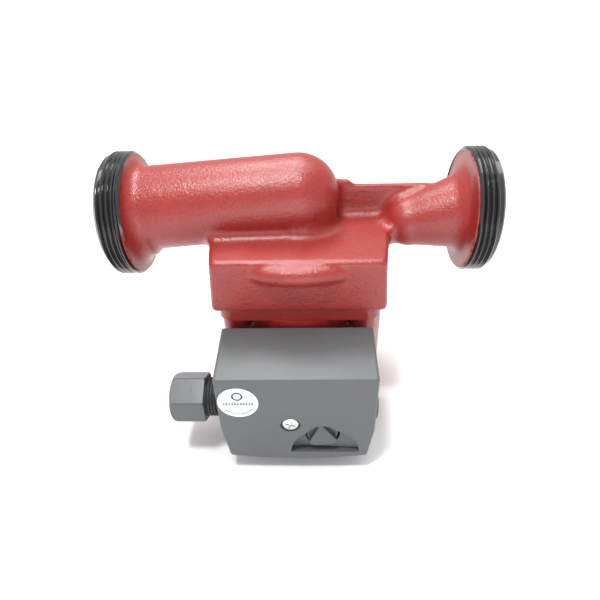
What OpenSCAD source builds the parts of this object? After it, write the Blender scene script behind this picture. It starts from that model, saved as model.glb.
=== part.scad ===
// In-line wet-rotor circulator pump, standing on its motor end.
// Origin: on the shaft axis, in the plane of the motor-end rim.
// +Z runs up the shaft towards the pump head, +X towards the outlet,
// and the terminal box faces -Y.

/* [Ports] */
// Distance from the inlet face to the outlet face
port_length = 180; // [160:5:220]
// Height of the port axis above the motor-end rim
port_axis_z = 102; // [100:1:115]
// Outside diameter of the port thread (G 2)
port_thread_d = 59.6; // [55:0.1:65]
// Diameter over the thread of the outlet port
outlet_thread_d = 58.9; // [58.6:0.1:59]
// Pitch of the port thread (11 turns an inch)
port_pitch = 2.309; // [1.8:0.001:2.5]
// Number of thread ridges on a port
port_ridges = 5; // [4:1:5]
// Thickness of the threaded port disc
port_disc_w = 12; // [11:0.5:16]
// Bore of a port
port_bore_d = 32; // [26:1:36]
// Outside radius of the inlet barrel
barrel_r = 19.7; // [18:0.1:23]
// Outside radius of the outlet neck
neck_r = 18.4; // [15.5:0.5:20]
// Rise of the inlet barrel from its port to the shaft axis
barrel_rise = 8.7; // [5:0.5:10]

/* [Pump casing] */
// Half width of the casing block across the pump
casing_half_x = 43; // [41:0.5:52]
// Half depth of the casing block
casing_half_y = 40; // [38:0.5:44]
// Radius of the casing block's upright corners
casing_corner_r = 6; // [4:0.5:8]
// Height of the joint face between casing and motor
joint_z = 70; // [70:0.5:72]
// Height of the casing block above the joint face
casing_h = 27; // [25:0.5:29]
// Outside radius of the volute bulge
volute_r = 46; // [43:0.5:48]
// Thickness of the volute bulge
volute_h = 9; // [8:0.5:11]
// Radius of the impeller chamber
chamber_r = 33; // [32:0.5:34]
// Wall over the impeller chamber
casing_wall = 4.5; // [3.5:0.5:5]

/* [Impeller] */
// Outside radius of the impeller
impeller_r = 30; // [24:0.5:31]
// Number of impeller blades
impeller_blades = 6; // [4:1:8]
// Radius of the impeller's inlet neck
impeller_neck_r = 12.4; // [11:0.1:13]
// Width of the blade passage
blade_h = 6; // [4:0.5:7]
// Thickness of blades and shrouds
shroud_t = 1.6; // [1.2:0.1:2]

/* [Motor] */
// Outside radius of the stator housing
motor_r = 44; // [42:0.5:50]
// Radius of the stator housing's neck under the flange
motor_neck_r = 40.3; // [39.5:0.1:42]
// Radius of the stator housing's bore
motor_bore_r = 36.2; // [34:0.1:37]
// Thickness of the motor-end wall
motor_end_t = 4; // [3.5:0.5:5]
// Depth of the nameplate recess inside the rim
rim_recess = 2; // [1.5:0.5:3]
// Half width of the motor flange
flange_half = 38.5; // [37.5:0.5:40]
// Thickness of the motor flange
flange_t = 6; // [5:0.5:7]
// Distance of a housing screw from the shaft axis along X and along Y
screw_xy = 30.8; // [30.5:0.1:32]
// Thread diameter of a housing screw
screw_d = 6; // [5:1:6]
// Radius of the rotor shaft
shaft_r = 5; // [4:0.5:6]
// Radius of the rotor over its cladding
rotor_r = 19.5; // [17:0.5:21]
// Length of the rotor and stator packs
pack_len = 28; // [22:1:30]
// Radial gap between the rotor and its can
rotor_gap = 0.5; // [0.4:0.1:1]
// Wall of the rotor can
can_t = 0.4; // [0.3:0.1:0.6]
// Radius of a shaft bearing
bearing_r = 9; // [8:0.5:10]

/* [Terminal box] */
// Distance from the shaft axis to the front of the terminal box
box_front = 75; // [72:1:85]
// Distance from the shaft axis to the rear edge of the cover
box_rear = 41.5; // [41:0.5:44]
// Height of the box floor above the rim plane
box_z0 = 7.5; // [6:0.5:10]
// Height of the front ridge above the rim plane
box_z1 = 61; // [59:0.5:61.5]
// Half width of the box front at its floor
box_half_low = 32.6; // [32:0.2:35]
// Half width of the box front above its tapered part
box_half = 35.2; // [35:0.2:42]
// Height at which the sides of the box start to taper in
box_taper_z = 29; // [24:1:34]
// Sideways shift of the box on the motor
box_shift = -0.9; // [-1.5:0.1:1.5]
// Wall of the terminal cover
cover_wall = 2.3; // [2:0.1:2.6]
// Half width of the terminal base
base_half = 29.5; // [29:0.1:29.8]
// Wall of the terminal base
base_wall = 2.2; // [1.8:0.1:2.6]
// Distance of the speed knob from the shaft plane along X
knob_x = 10.4; // [9:0.2:12]
// Height of the speed knob's axis
knob_z = 23.5; // [23:0.5:25]
// Diameter of the speed knob
knob_d = 15.5; // [13:0.5:16]
// Distance from the shaft plane to the cover screw along X
cover_screw_x = -4.1; // [-5:0.1:-3.5]
// Height of the cover screw
cover_screw_z = 32.3; // [31:0.1:33]

/* [Cable gland] */
// Thread diameter of the cable entry (Pg 11)
gland_thread_d = 18.6; // [16:0.2:20]
// Width of the gland nut across its flats
gland_flats = 21; // [21:0.5:24]
// Length of the gland nut
gland_nut_len = 16.5; // [16:0.5:22]
// Distance of the cable entries in front of the shaft axis
entry_y = 57.8; // [57:0.1:58.5]
// Height of the cable gland's axis
gland_z = 33; // [31:0.5:34]
// Height of the blanking plug's axis
blank_z = 30; // [28:0.5:40]
// Thread diameter of the blanked entry (Pg 9)
blank_thread_d = 15.2; // [14:0.2:18]
// Largest cable that the gland takes
cable_d = 10; // [8:0.5:10]

/* [Hidden] */
$fn = 96;

// Clearances
run_gap = 0.05;    // shaft in a bearing, spindle in a switch
free_gap = 0.3;    // parts that pass without touching
seat_gap = 0.05;   // fixed parts dropped into a recess
eps = 0.01;

// Heights of the casing
casing_z1 = joint_z + casing_h;
chamber_z1 = casing_z1 - casing_wall;
volute_z0 = casing_z1 - volute_h;
channel_r = volute_r - casing_wall;
eye_r = impeller_neck_r + free_gap + 1.8;
barrel_axis_z = port_axis_z + barrel_rise;
barrel_wall = 4;
port_face_x = port_length / 2;
port_back_x = port_face_x - port_disc_w;
barrel_drop = barrel_rise - 2.2;
neck_end_x = casing_half_x + 11.5;
neck_end_z = casing_z1 - 1.1;
neck_end_r = 12.2;
neck_root_x = 34;
neck_root_z = casing_z1 - 10;
neck_foot_z = port_axis_z - 1;
web_y = 5.5;
web_t = 4.5;
web_z1 = port_axis_z + 10.5;
web_step_z1 = web_z1 + 2.5;

// Heights of the shaft line, from the joint face down
ledge_z = joint_z - 2.4;
ledge_r = motor_bore_r + 1.8;
stack_r = ledge_r - seat_gap;
plate_z = ledge_z + can_t;
plate_t = 1;
gasket_z = plate_z + plate_t;
front_bearing_z1 = plate_z + 0.4;
front_bearing_z0 = front_bearing_z1 - 9;
thrust_t = 3;
cushion_t = 1.5;
pack_z1 = front_bearing_z0 - free_gap - thrust_t - cushion_t - 2.5;
pack_z0 = pack_z1 - pack_len;
ring_t = 2.5;
can_r = rotor_r + rotor_gap;
can_step_z = pack_z0 - ring_t - 1;
rear_bearing_h = 8;
can_floor_z = can_step_z - rear_bearing_h - 1.2;
end_wall_z1 = rim_recess + motor_end_t;
motor_shoulder_z = box_z1 - cover_wall - 4.5;

// Impeller stack, from the chamber ceiling down
impeller_z1 = chamber_z1 - 1;
impeller_z0 = impeller_z1 - blade_h - 2 * shroud_t;
hub_r = shaft_r + 3;
hub_top_z = impeller_z1 - shroud_t / 2;
dome_z = impeller_z0 - 1.2;
cap_h = 3;

// Vent plug in the motor end
vent_r = 7;
vent_head_r = 11;
vent_head_t = 2.8;
vent_seal_t = 0.6;
vent_head_z = 1.7;
vent_boss_r = vent_r + 1.2;

// Terminal box
box_crease = 12.5;         // width of the sloping front strip of the cover
box_rise = 1.5;          // rise of the cover from its ridge to its crease
box_flare = 0.7;         // growth of the half width towards the rear edge
box_belly = 2.8;         // sag of the bottom edge below its corners
base_floor_y = motor_r + 3;
scoop_depth = 3.6;
gasket_t = 1.3;
scoop_wall = 1.8;
base_front_y = box_front - scoop_depth - scoop_wall - gasket_t;
base_z0 = box_z0 + box_belly + cover_wall + free_gap;
base_z1 = box_z1 - cover_wall - 1.5 - free_gap;
cover_lip = box_half - base_half + base_wall;
label_r = 9;
label_t = 0.3;
label_x = -26.4;
label_z = 47.5;
knob_r = knob_d / 2;
scoop_r = knob_r + 8.2;
scoop_x = knob_x + 1.3;
scoop_z = knob_z - 10;
knob_front = box_front - 0.6;
knob_back = box_front - 8.5;
spindle_r = 3;
switch_front = box_front - 13;
post_front = box_front - 3.6;
post_r = 3.5;

// Cable entries
entry_r = gland_thread_d / 2;
entry_boss_r = entry_r + 1;
blank_r = blank_thread_d / 2;
blank_boss_r = blank_r + 1;
side_x = box_half - box_shift;
blank_side_x = box_half + box_shift;
nut_gap = 6.5;             // thread left showing behind the loose gland nut
nut_x0 = side_x + nut_gap + 1.5;
nut_x1 = nut_x0 + gland_nut_len;
nut_floor_x = nut_x1 - 4.5;
nut_corner_r = gland_flats / 2 / cos(30);
gland_mouth_x = nut_floor_x - 5.5;
mouth_r = entry_r - 1.4;
clamp_nose_x = nut_floor_x - 6.2;
flange_in_x = base_half - base_wall;
gland_flange_t = 2.5;
washer_t = 1;

// ---------------------------------------------------------------- helpers

// Rounded rectangle, exact arcs
module round_rect(hx, hy, r) {
    square([2 * (hx - r), 2 * hy], center = true);
    square([2 * hx, 2 * (hy - r)], center = true);
    for (sx = [-1, 1], sy = [-1, 1])
        translate([sx * (hx - r), sy * (hy - r)]) circle(r = r);
}

// Cylinder along a line between two points in the XZ plane
module rod_xz(x0, z0, x1, z1, r0, r1) {
    len = sqrt((x1 - x0) * (x1 - x0) + (z1 - z0) * (z1 - z0));
    translate([x0, 0, z0])
        rotate([0, atan2(x1 - x0, z1 - z0), 0]) cylinder(h = len, r1 = r0, r2 = r1);
}

// Ring on the shaft axis
module ring(z0, z1, r_in, r_out) {
    translate([0, 0, z0]) difference() {
        cylinder(h = z1 - z0, r = r_out);
        translate([0, 0, -1]) cylinder(h = z1 - z0 + 2, r = r_in);
    }
}

// Cylinder along -Y, from distance y0 to y1 in front of the shaft
module rod_y(x, z, y0, y1, r, fn = 96) {
    translate([x, -y0, z]) rotate([90, 0, 0]) cylinder(h = y1 - y0, r = r, $fn = fn);
}

// Cylinder along X at the height of a cable entry, from |x| = x0 to x1 on one side
module rod_x(side, z, x0, x1, r, fn = 96) {
    translate([side * x0, -entry_y, z])
        rotate([0, side * 90, 0]) cylinder(h = x1 - x0, r = r, $fn = fn);
}

// Places a part at each housing screw
module at_screws() {
    for (sx = [-1, 1], sy = [-1, 1]) translate([sx * screw_xy, sy * screw_xy, 0]) children();
}

// Threaded port disc with its flare, turned about the port axis from its back face up.
// The flare runs down to a pipe of radius pipe_r behind the disc.
module port(pipe_r, flare, thread_d) {
    groove = 0.640327 * port_pitch;
    r = thread_d / 2;
    land = 0.5;
    shoulder = 1;
    first = 1.2;
    last_x = port_disc_w - first - (port_ridges - 1) * port_pitch;
    rotate_extrude() polygon(concat(
        [[0, -flare], [0, port_disc_w], [r - groove, port_disc_w]],
        [for (i = [0 : port_ridges - 2]) let (x = port_disc_w - first - i * port_pitch)
            each [[r, x], [r, x - land], [r - groove, x - land / 2 - port_pitch / 2]]],
        [[r, last_x], [r, last_x - land], [r - shoulder, last_x - land - 0.3], [r - shoulder, 0]],
        [for (a = [90 : -30 : 0]) [pipe_r + flare * (1 - cos(a)), flare * (sin(a) - 1)]]
    ));
}

// ------------------------------------------------------------- pump head

module housing_outside() {
    translate([0, 0, joint_z]) linear_extrude(casing_h)
        round_rect(casing_half_x, casing_half_y, casing_corner_r);
    translate([0, 0, volute_z0]) rotate_extrude() {
        square([volute_r - volute_h / 2, volute_h]);
        translate([volute_r - volute_h / 2, volute_h / 2]) intersection() {
            circle(r = volute_h / 2);
            translate([0, -volute_h / 2]) square(volute_h);
        }
    }
    // inlet barrel and its dome, one turned shape
    translate([0, 0, barrel_axis_z])
        rotate([0, -atan2(port_back_x, -barrel_drop), 0]) rotate_extrude() {
            square([barrel_r, norm([port_back_x, barrel_drop])]);
            intersection() {
                circle(r = barrel_r);
                translate([0, -barrel_r]) square(barrel_r);
            }
        }
    translate([0, 0, casing_z1 - 2])
        cylinder(h = barrel_axis_z - casing_z1 + 2, r = eye_r + barrel_wall);
    // outlet neck
    rod_xz(neck_root_x, neck_root_z, neck_end_x, neck_end_z, 7, 8.5);
    translate([neck_end_x, 0, neck_end_z]) sphere(r = neck_end_r);
    rod_xz(neck_end_x, neck_end_z, port_back_x, neck_foot_z, neck_end_r - 0.4, neck_r - 0.4);
    // web between dome and neck, stepped up beside the dome
    translate([8, web_y, casing_z1 - 2])
        cube([neck_end_x + 3, web_t, web_z1 - casing_z1 + 2]);
    translate([8, web_y, casing_z1 - 2])
        cube([barrel_r - 2, web_t, web_step_z1 - casing_z1 + 2]);
    // ports
    translate([-port_back_x, 0, port_axis_z]) rotate([0, -90, 0]) port(barrel_r + 0.5, 7, port_thread_d);
    translate([port_back_x, 0, port_axis_z]) rotate([0, 90, 0]) port(neck_r + 0.5, 7, outlet_thread_d);
}

module housing_inside() {
    // impeller chamber with the volute channel around it
    translate([0, 0, joint_z - 1]) rotate_extrude() polygon([
        [0, 0], [chamber_r, 0], [chamber_r, volute_z0 - joint_z - 1],
        [channel_r, volute_z0 - joint_z + 3], [channel_r, chamber_z1 - joint_z + 1],
        [0, chamber_z1 - joint_z + 1]
    ]);
    // inlet passage, with a round end under the dome
    inlet_r = barrel_r - barrel_wall;
    translate([0, 0, barrel_axis_z])
        rotate([0, -atan2(port_back_x, -barrel_drop), 0]) rotate_extrude() {
            square([inlet_r, norm([port_back_x, barrel_drop])]);
            intersection() {
                circle(r = inlet_r);
                translate([0, -inlet_r]) square(inlet_r);
            }
        }
    translate([-port_face_x - 1, 0, port_axis_z])
        rotate([0, 90, 0]) cylinder(h = port_disc_w + 3, r = port_bore_d / 2);
    translate([0, 0, chamber_z1 - 1])
        cylinder(h = barrel_axis_z - chamber_z1 + 1, r = eye_r);
    // outlet passage
    rod_xz(neck_root_x, neck_root_z, neck_end_x, neck_end_z, 4, 5);
    translate([neck_end_x, 0, neck_end_z]) sphere(r = neck_end_r - barrel_wall);
    rod_xz(neck_end_x, neck_end_z, port_back_x, neck_foot_z,
        neck_end_r - barrel_wall - 0.4, neck_r - barrel_wall);
    translate([port_back_x - 2, 0, port_axis_z])
        rotate([0, 90, 0]) cylinder(h = port_disc_w + 3, r = port_bore_d / 2);
}

module pump_housing() {
    color("firebrick") difference() {
        housing_outside();
        housing_inside();
        // tapped holes for the housing screws
        at_screws() translate([0, 0, joint_z - 1]) cylinder(h = 13, r = screw_d / 2);
    }
}

module wear_ring() {
    color("silver") ring(chamber_z1 - 0.4, chamber_z1 + 3.4,
        impeller_neck_r + free_gap, eye_r - seat_gap);
}

module housing_gasket() {
    color("black") ring(gasket_z, joint_z, chamber_r + 0.5, stack_r);
}

// ---------------------------------------------------------------- rotor

// Backward-curved blades between the two shrouds
module blades(z0, h) {
    start_r = impeller_neck_r - 1;
    for (i = [0 : impeller_blades - 1]) rotate([0, 0, i * 360 / impeller_blades])
        translate([0, 0, z0]) linear_extrude(h) intersection() {
            difference() {
                circle(r = impeller_r);
                circle(r = hub_r - 0.5);
            }
            translate([start_r - impeller_r * 0.55 + 1, -impeller_r * 0.6]) difference() {
                circle(r = impeller_r * 0.85);
                circle(r = impeller_r * 0.85 - shroud_t);
                translate([-impeller_r * 2, -impeller_r]) square([impeller_r * 2, impeller_r * 3]);
                translate([-impeller_r, -impeller_r * 2]) square(impeller_r * 2);
            }
        }
}

module impeller() {
    color("ivory") {
        difference() {
            union() {
                // back shroud and hub
                translate([0, 0, impeller_z0]) cylinder(h = shroud_t, r = impeller_r);
                translate([0, 0, impeller_z0]) cylinder(h = hub_top_z - impeller_z0, r = hub_r);
                blades(impeller_z0 + shroud_t / 2, blade_h + shroud_t);
                // front shroud and inlet neck
                ring(impeller_z1 - shroud_t, impeller_z1, impeller_neck_r - shroud_t, impeller_r);
                ring(impeller_z1 - shroud_t, impeller_z1 + 4, impeller_neck_r - shroud_t,
                    impeller_neck_r);
            }
            translate([0, 0, impeller_z0 - 1]) cylinder(h = 30, r = shaft_r + seat_gap);
        }
    }
}

// Cap that holds the impeller on the shaft
module impeller_cap() {
    color("silver") translate([0, 0, hub_top_z]) {
        cylinder(h = cap_h - 1, r = hub_r - 1);
        translate([0, 0, cap_h - 1]) cylinder(h = 1, r1 = hub_r - 1, r2 = hub_r - 2);
    }
}

module shaft() {
    color("lightgray") difference() {
        translate([0, 0, can_floor_z + 1.5])
            cylinder(h = hub_top_z - can_floor_z - 1.5, r = shaft_r);
        // vent bore through the hollow shaft
        translate([0, 0, can_floor_z]) cylinder(h = 60, r = 1.5);
    }
}

module rotor_core() {
    color("dimgray") ring(pack_z0, pack_z1, shaft_r, rotor_r - can_t);
}

module rotor_end_rings() {
    color("lightsteelblue") {
        ring(pack_z0 - ring_t, pack_z0, shaft_r, rotor_r - can_t);
        ring(pack_z1, pack_z1 + ring_t, shaft_r, rotor_r - can_t);
    }
}

module rotor_cladding() {
    color("silver") ring(pack_z0 - ring_t, pack_z1 + ring_t, rotor_r - can_t, rotor_r);
}

module thrust_cushion() {
    color("black") ring(pack_z1 + ring_t, pack_z1 + ring_t + cushion_t, shaft_r, bearing_r);
}

module thrust_bearing() {
    color("dimgray") ring(pack_z1 + ring_t + cushion_t, front_bearing_z0 - free_gap,
        shaft_r, bearing_r);
}

// ---------------------------------------------------- bearings and rotor can

module front_bearing() {
    color("whitesmoke") ring(front_bearing_z0, front_bearing_z1, shaft_r + run_gap, bearing_r);
}

module rear_bearing() {
    color("whitesmoke") ring(can_step_z - rear_bearing_h, can_step_z,
        shaft_r + run_gap, bearing_r);
}

// Pressed steel shield that carries the front bearing and reaches up to the impeller
module bearing_plate() {
    cup_z = front_bearing_z0 + 1;
    side_r = chamber_r - 0.8;
    color("silver") rotate_extrude() polygon([
        [bearing_r, cup_z], [bearing_r + plate_t, cup_z], [bearing_r + plate_t, dome_z - plate_t],
        [side_r - plate_t, dome_z - plate_t], [side_r - plate_t, plate_z], [stack_r, plate_z],
        [stack_r, gasket_z], [side_r, gasket_z], [side_r, dome_z], [shaft_r + 1, dome_z],
        [shaft_r + 1, dome_z - plate_t], [bearing_r, dome_z - plate_t]
    ]);
}

module rotor_can() {
    r_out = can_r + can_t;
    seat = bearing_r + can_t;
    color("silver") rotate_extrude() polygon([
        [vent_r + run_gap, vent_head_z + vent_head_t + vent_seal_t],
        [vent_boss_r, vent_head_z + vent_head_t + vent_seal_t],
        [vent_boss_r, can_floor_z - can_t], [seat, can_floor_z - can_t],
        [seat, can_step_z - can_t], [r_out, can_step_z - can_t],
        [r_out, ledge_z], [stack_r, ledge_z], [stack_r, plate_z], [can_r, plate_z],
        [can_r, can_step_z], [bearing_r, can_step_z], [bearing_r, can_floor_z],
        [vent_r + run_gap, can_floor_z]
    ]);
}

// ---------------------------------------------------------------- stator

module stator_housing() {
    boss_r = 7;
    head_h = screw_d;
    color("firebrick") difference() {
        union() {
            cylinder(h = motor_shoulder_z, r = motor_r);
            translate([0, 0, motor_shoulder_z - eps]) cylinder(h = 2, r1 = motor_r, r2 = motor_neck_r);
            cylinder(h = joint_z - flange_t + eps, r = motor_neck_r);
            translate([0, 0, joint_z - flange_t]) linear_extrude(flange_t)
                round_rect(flange_half, flange_half, boss_r);
            // screw bosses
            at_screws() translate([0, 0, joint_z - flange_t - head_h - 1])
                cylinder(h = flange_t + head_h + 1, r = boss_r - 0.3);
        }
        // bore for the stator and the ledge for the can
        translate([0, 0, end_wall_z1]) cylinder(h = joint_z, r = motor_bore_r);
        translate([0, 0, ledge_z]) cylinder(h = joint_z, r = ledge_r);
        // nameplate recess and vent opening
        translate([0, 0, -1]) cylinder(h = rim_recess + 1, r = motor_r - 5);
        translate([0, 0, -1]) cylinder(h = joint_z, r = vent_boss_r + seat_gap);
        translate([0, 0, -1])
            cylinder(h = vent_head_z + vent_head_t + vent_seal_t + 1, r = vent_head_r + free_gap);
        // housing screw holes and counterbores
        at_screws() {
            translate([0, 0, joint_z / 2]) cylinder(h = joint_z, r = screw_d / 2 + 0.2);
            translate([0, 0, joint_z - flange_t - head_h - 8])
                cylinder(h = head_h + 8, r = screw_d * 5 / 6 + 0.4);
        }
        // tapped holes for the terminal base
        for (p = base_screw_spots) rod_y(p[0], p[1], base_screw_tip(p[0]), motor_r + 1, 1.55);
    }
}

module stator_core() {
    slots = 12;
    color("dimgray") difference() {
        ring(pack_z0, pack_z1, can_r + can_t + seat_gap, motor_bore_r - seat_gap);
        for (i = [0 : slots - 1]) rotate([0, 0, i * 360 / slots])
            translate([(can_r + motor_bore_r) / 2 - 1, 0, pack_z0 - 1])
                cylinder(h = pack_len + 2, r = 3.3, $fn = 48);
    }
}

module stator_windings() {
    slots = 12;
    mid_r = (can_r + motor_bore_r) / 2 - 1;
    coil_h = 8;
    color("peru") {
        for (z = [pack_z0 - coil_h - 0.8, pack_z1 + 0.8]) translate([0, 0, z]) rotate_extrude()
            translate([mid_r, coil_h / 2]) {
                circle(r = coil_h / 2);
                translate([-1, -coil_h / 2]) square([2, coil_h]);
            }
        for (i = [0 : slots - 1]) rotate([0, 0, i * 360 / slots])
            translate([mid_r, 0, pack_z0 - 1.5]) cylinder(h = pack_len + 3, r = 2.7, $fn = 48);
    }
}

module winding_insulators() {
    slots = 12;
    mid_r = (can_r + motor_bore_r) / 2 - 1;
    color("wheat") for (z = [pack_z0 - 0.8, pack_z1]) difference() {
        ring(z, z + 0.8, can_r + can_t + 1, motor_bore_r - 1);
        for (i = [0 : slots - 1]) rotate([0, 0, i * 360 / slots])
            translate([mid_r, 0, z - 1]) cylinder(h = 3, r = 2.9, $fn = 48);
    }
}

// Four socket-head screws, put in from the motor side
module housing_screws() {
    head_r = screw_d * 5 / 6;
    head_z = joint_z - flange_t;
    color("silver") at_screws() difference() {
        union() {
            translate([0, 0, head_z - screw_d]) cylinder(h = screw_d, r = head_r);
            translate([0, 0, head_z - eps])
                cylinder(h = flange_t + 11, r = screw_d / 2 - seat_gap);
        }
        translate([0, 0, head_z - screw_d - 1])
            cylinder(h = screw_d / 2 + 1, r = screw_d * 0.48, $fn = 6);
    }
}

module nameplate() {
    color("lightgray") ring(rim_recess - 0.4, rim_recess, vent_head_r + 1.5, motor_r - 6);
}

// Slotted brass plug that lets air out of the rotor can
module vent_plug() {
    color("goldenrod") difference() {
        union() {
            translate([0, 0, vent_head_z]) cylinder(h = vent_head_t, r = vent_head_r);
            translate([0, 0, vent_head_z]) cylinder(h = can_floor_z - vent_head_z - 1, r = vent_r);
        }
        translate([-vent_head_r - 1, -0.9, vent_head_z - 1]) cube([2 * vent_head_r + 2, 1.8, 2.2]);
    }
}

module vent_seal() {
    color("black") ring(vent_head_z + vent_head_t, vent_head_z + vent_head_t + vent_seal_t,
        vent_r + run_gap, vent_head_r - 0.5);
}

// ----------------------------------------------------------- terminal box

// Outer block of the cover, with every wall moved in by inset
module box_block(inset, y_front, y_rear) {
    low = box_half_low - inset;
    half = box_half - inset;
    corner_z = box_z0 + box_belly + inset;
    translate([box_shift, 0, 0]) intersection() {
        // outline from the front: upright sides that taper in below, and a bellied floor
        translate([0, -y_rear, 0]) rotate([90, 0, 0]) linear_extrude(y_front - y_rear) polygon([
            [-low, corner_z], [-low * 0.6, corner_z - box_belly * 0.7], [0, corner_z - box_belly],
            [low * 0.6, corner_z - box_belly * 0.7], [low, corner_z],
            [half + box_flare, box_taper_z], [half + box_flare, box_z1 + box_rise - inset],
            [-half - box_flare, box_z1 + box_rise - inset], [-half - box_flare, box_taper_z]
        ]);
        // outline from the side: flat top, sloping strip, ridge
        translate([-half - 5, 0, 0]) rotate([90, 0, 90]) linear_extrude(2 * half + 10) polygon([
            [-y_rear, box_z0], [-y_front, box_z0], [-y_front, box_z1 - inset - 1.5],
            [-y_front + 1.5, box_z1 - inset], [-box_front + box_crease, box_z1 + box_rise - inset],
            [-y_rear, box_z1 + box_rise - inset]
        ]);
        // outline from above: slightly wider at the rear edge
        linear_extrude(box_z1 + 10) polygon([
            [-half, -box_front], [half, -box_front],
            [half + box_flare, -box_rear + 5], [-half - box_flare, -box_rear + 5]
        ]);
    }
}

// Half-round scoop around the speed knob
module scoop(r, y0, y1) {
    intersection() {
        rod_y(scoop_x, scoop_z, y0, y1, r);
        translate([scoop_x - r - 1, -y1 - 1, scoop_z - (r - scoop_r)])
            cube([2 * r + 2, y1 - y0 + 2, r + 4]);
    }
}

module terminal_cover() {
    lip_y = base_front_y + gasket_t;
    color([0.24, 0.25, 0.27]) difference() {
        union() {
            difference() {
                box_block(0, box_front, box_rear);
                box_block(cover_wall, lip_y, box_rear - 2);
                box_block(cover_lip, box_front - cover_wall, box_rear - 1);
            }
            scoop(scoop_r + scoop_wall, box_front - scoop_depth - scoop_wall, box_front - 1);
            rod_y(cover_screw_x, cover_screw_z, post_front, box_front - 1, post_r + 2);
        }
        // scoop, knob hole, screw recess and screw hole
        scoop(scoop_r, box_front - scoop_depth, box_front + 1);
        rod_y(knob_x, knob_z, box_front - 12, box_front + 1, knob_r + free_gap);
        rod_y(cover_screw_x, cover_screw_z, box_front - 1.4, box_front + 1, 4.4);
        rod_y(cover_screw_x, cover_screw_z, post_front - 1, box_front + 1, 2.1);
        // room for the motor under the cover
        cylinder(h = box_z1 - cover_wall, r = motor_r + free_gap);
        cylinder(h = joint_z, r = motor_neck_r + free_gap);
        // slots that slide over the two cable entry bosses
        for (e = [[-1, gland_z, entry_boss_r], [1, blank_z, blank_boss_r]]) {
            rod_x(e[0], e[1], base_half - 1, box_half + 4, e[2] + free_gap);
            translate([e[0] > 0 ? base_half - 1 : -box_half - 4, -entry_y,
                    e[1] - e[2] - free_gap])
                cube([box_half - base_half + 5, entry_y, 2 * (e[2] + free_gap)]);
        }
    }
}

// Places on the terminal base for its two fixing screws: [x, z]
base_screw_spots = [[-12, 21.5], [24.2, 23]];
function base_screw_tip(x) = sqrt(motor_bore_r * motor_bore_r - x * x) + 2.5;

module terminal_base() {
    color([0.2, 0.2, 0.22]) difference() {
        union() {
            difference() {
                translate([-base_half, -base_front_y, base_z0])
                    cube([2 * base_half, base_front_y - box_rear + 7, base_z1 - base_z0]);
                translate([-base_half + base_wall, -base_front_y - 1, base_z0 + base_wall])
                    cube([2 * (base_half - base_wall), base_front_y - base_floor_y + 1,
                        base_z1 - base_z0 - 2 * base_wall]);
            }
            // cable entry bosses and the cover screw's post
            rod_x(-1, gland_z, base_half - base_wall, side_x + 0.8, entry_boss_r);
            rod_x(1, blank_z, base_half - base_wall, blank_side_x + 0.4, blank_boss_r);
            rod_y(cover_screw_x, cover_screw_z, base_floor_y - 1, post_front, post_r);
        }
        // saddle on the motor
        cylinder(h = 80, r = motor_r + seat_gap);
        rod_x(-1, gland_z, 10, 50, entry_r + seat_gap);
        rod_x(1, blank_z, 10, 50, blank_r + seat_gap);
        rod_y(cover_screw_x, cover_screw_z, base_floor_y + 4, post_front + 1, 1.7);
        for (p = base_screw_spots) rod_y(p[0], p[1], 20, base_floor_y + 1, 1.75);
    }
}

module cover_gasket() {
    color("black") translate([0, -base_front_y, 0]) rotate([90, 0, 0])
        translate([0, (base_z0 + base_z1) / 2, 0]) linear_extrude(gasket_t) difference() {
            square([2 * base_half, base_z1 - base_z0], center = true);
            square([2 * (base_half - base_wall), base_z1 - base_z0 - 2 * base_wall],
                center = true);
        }
}

module cover_screw() {
    head_back = box_front - 1.4;
    color("silver") difference() {
        union() {
            rod_y(cover_screw_x, cover_screw_z, head_back, box_front - 0.1, 3.75);
            rod_y(cover_screw_x, cover_screw_z, base_floor_y + 8, head_back + eps, 1.65);
        }
        for (a = [0, 90]) translate([cover_screw_x, -box_front, cover_screw_z])
            rotate([0, a, 0]) cube([4.2, 1.6, 0.9], center = true);
    }
}

module cover_label() {
    color("honeydew") rod_y(label_x, label_z, box_front, box_front + label_t, label_r);
}

// Speed knob: a disc with a raised arrow-shaped grip
module speed_knob() {
    color([0.17, 0.17, 0.18]) difference() {
        union() {
            rod_y(knob_x, knob_z, knob_back, box_front - 2.2, knob_r);
            translate([knob_x, -(box_front - 2.3), knob_z]) rotate([90, 0, 0])
                linear_extrude(knob_front - box_front + 2.3) intersection() {
                    circle(r = knob_r);
                    polygon([[0, knob_r - 0.6], [knob_r * 0.62, -knob_r * 0.75],
                        [-knob_r * 0.62, -knob_r * 0.75]]);
                }
        }
        rod_y(knob_x, knob_z, knob_back - 1, knob_back + 5, spindle_r);
    }
}

module switch_spindle() {
    color("ivory") rod_y(knob_x, knob_z, switch_front - 6, knob_back + 5, spindle_r);
}

module speed_switch() {
    half = 8.5;
    color("ivory") difference() {
        translate([knob_x - half, -switch_front, base_z0 + base_wall])
            cube([2 * half, switch_front - base_floor_y, 2 * (knob_z - base_z0 - base_wall)]);
        rod_y(knob_x, knob_z, switch_front - 7, switch_front + 1, spindle_r + run_gap);
    }
}

module run_capacitor() {
    z0 = base_z1 - base_wall - 14;
    color("whitesmoke") translate([-20, -base_floor_y - 13, z0]) cube([23, 13, 13.5]);
}

module terminal_block() {
    z0 = base_z1 - base_wall - 12;
    color("beige") difference() {
        translate([5, -base_floor_y - 12, z0]) cube([20, 12, 11.5]);
        for (i = [0 : 2]) rod_y(9 + 6 * i, z0 + 6, base_floor_y + 9, base_floor_y + 13, 2.2);
    }
}

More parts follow.
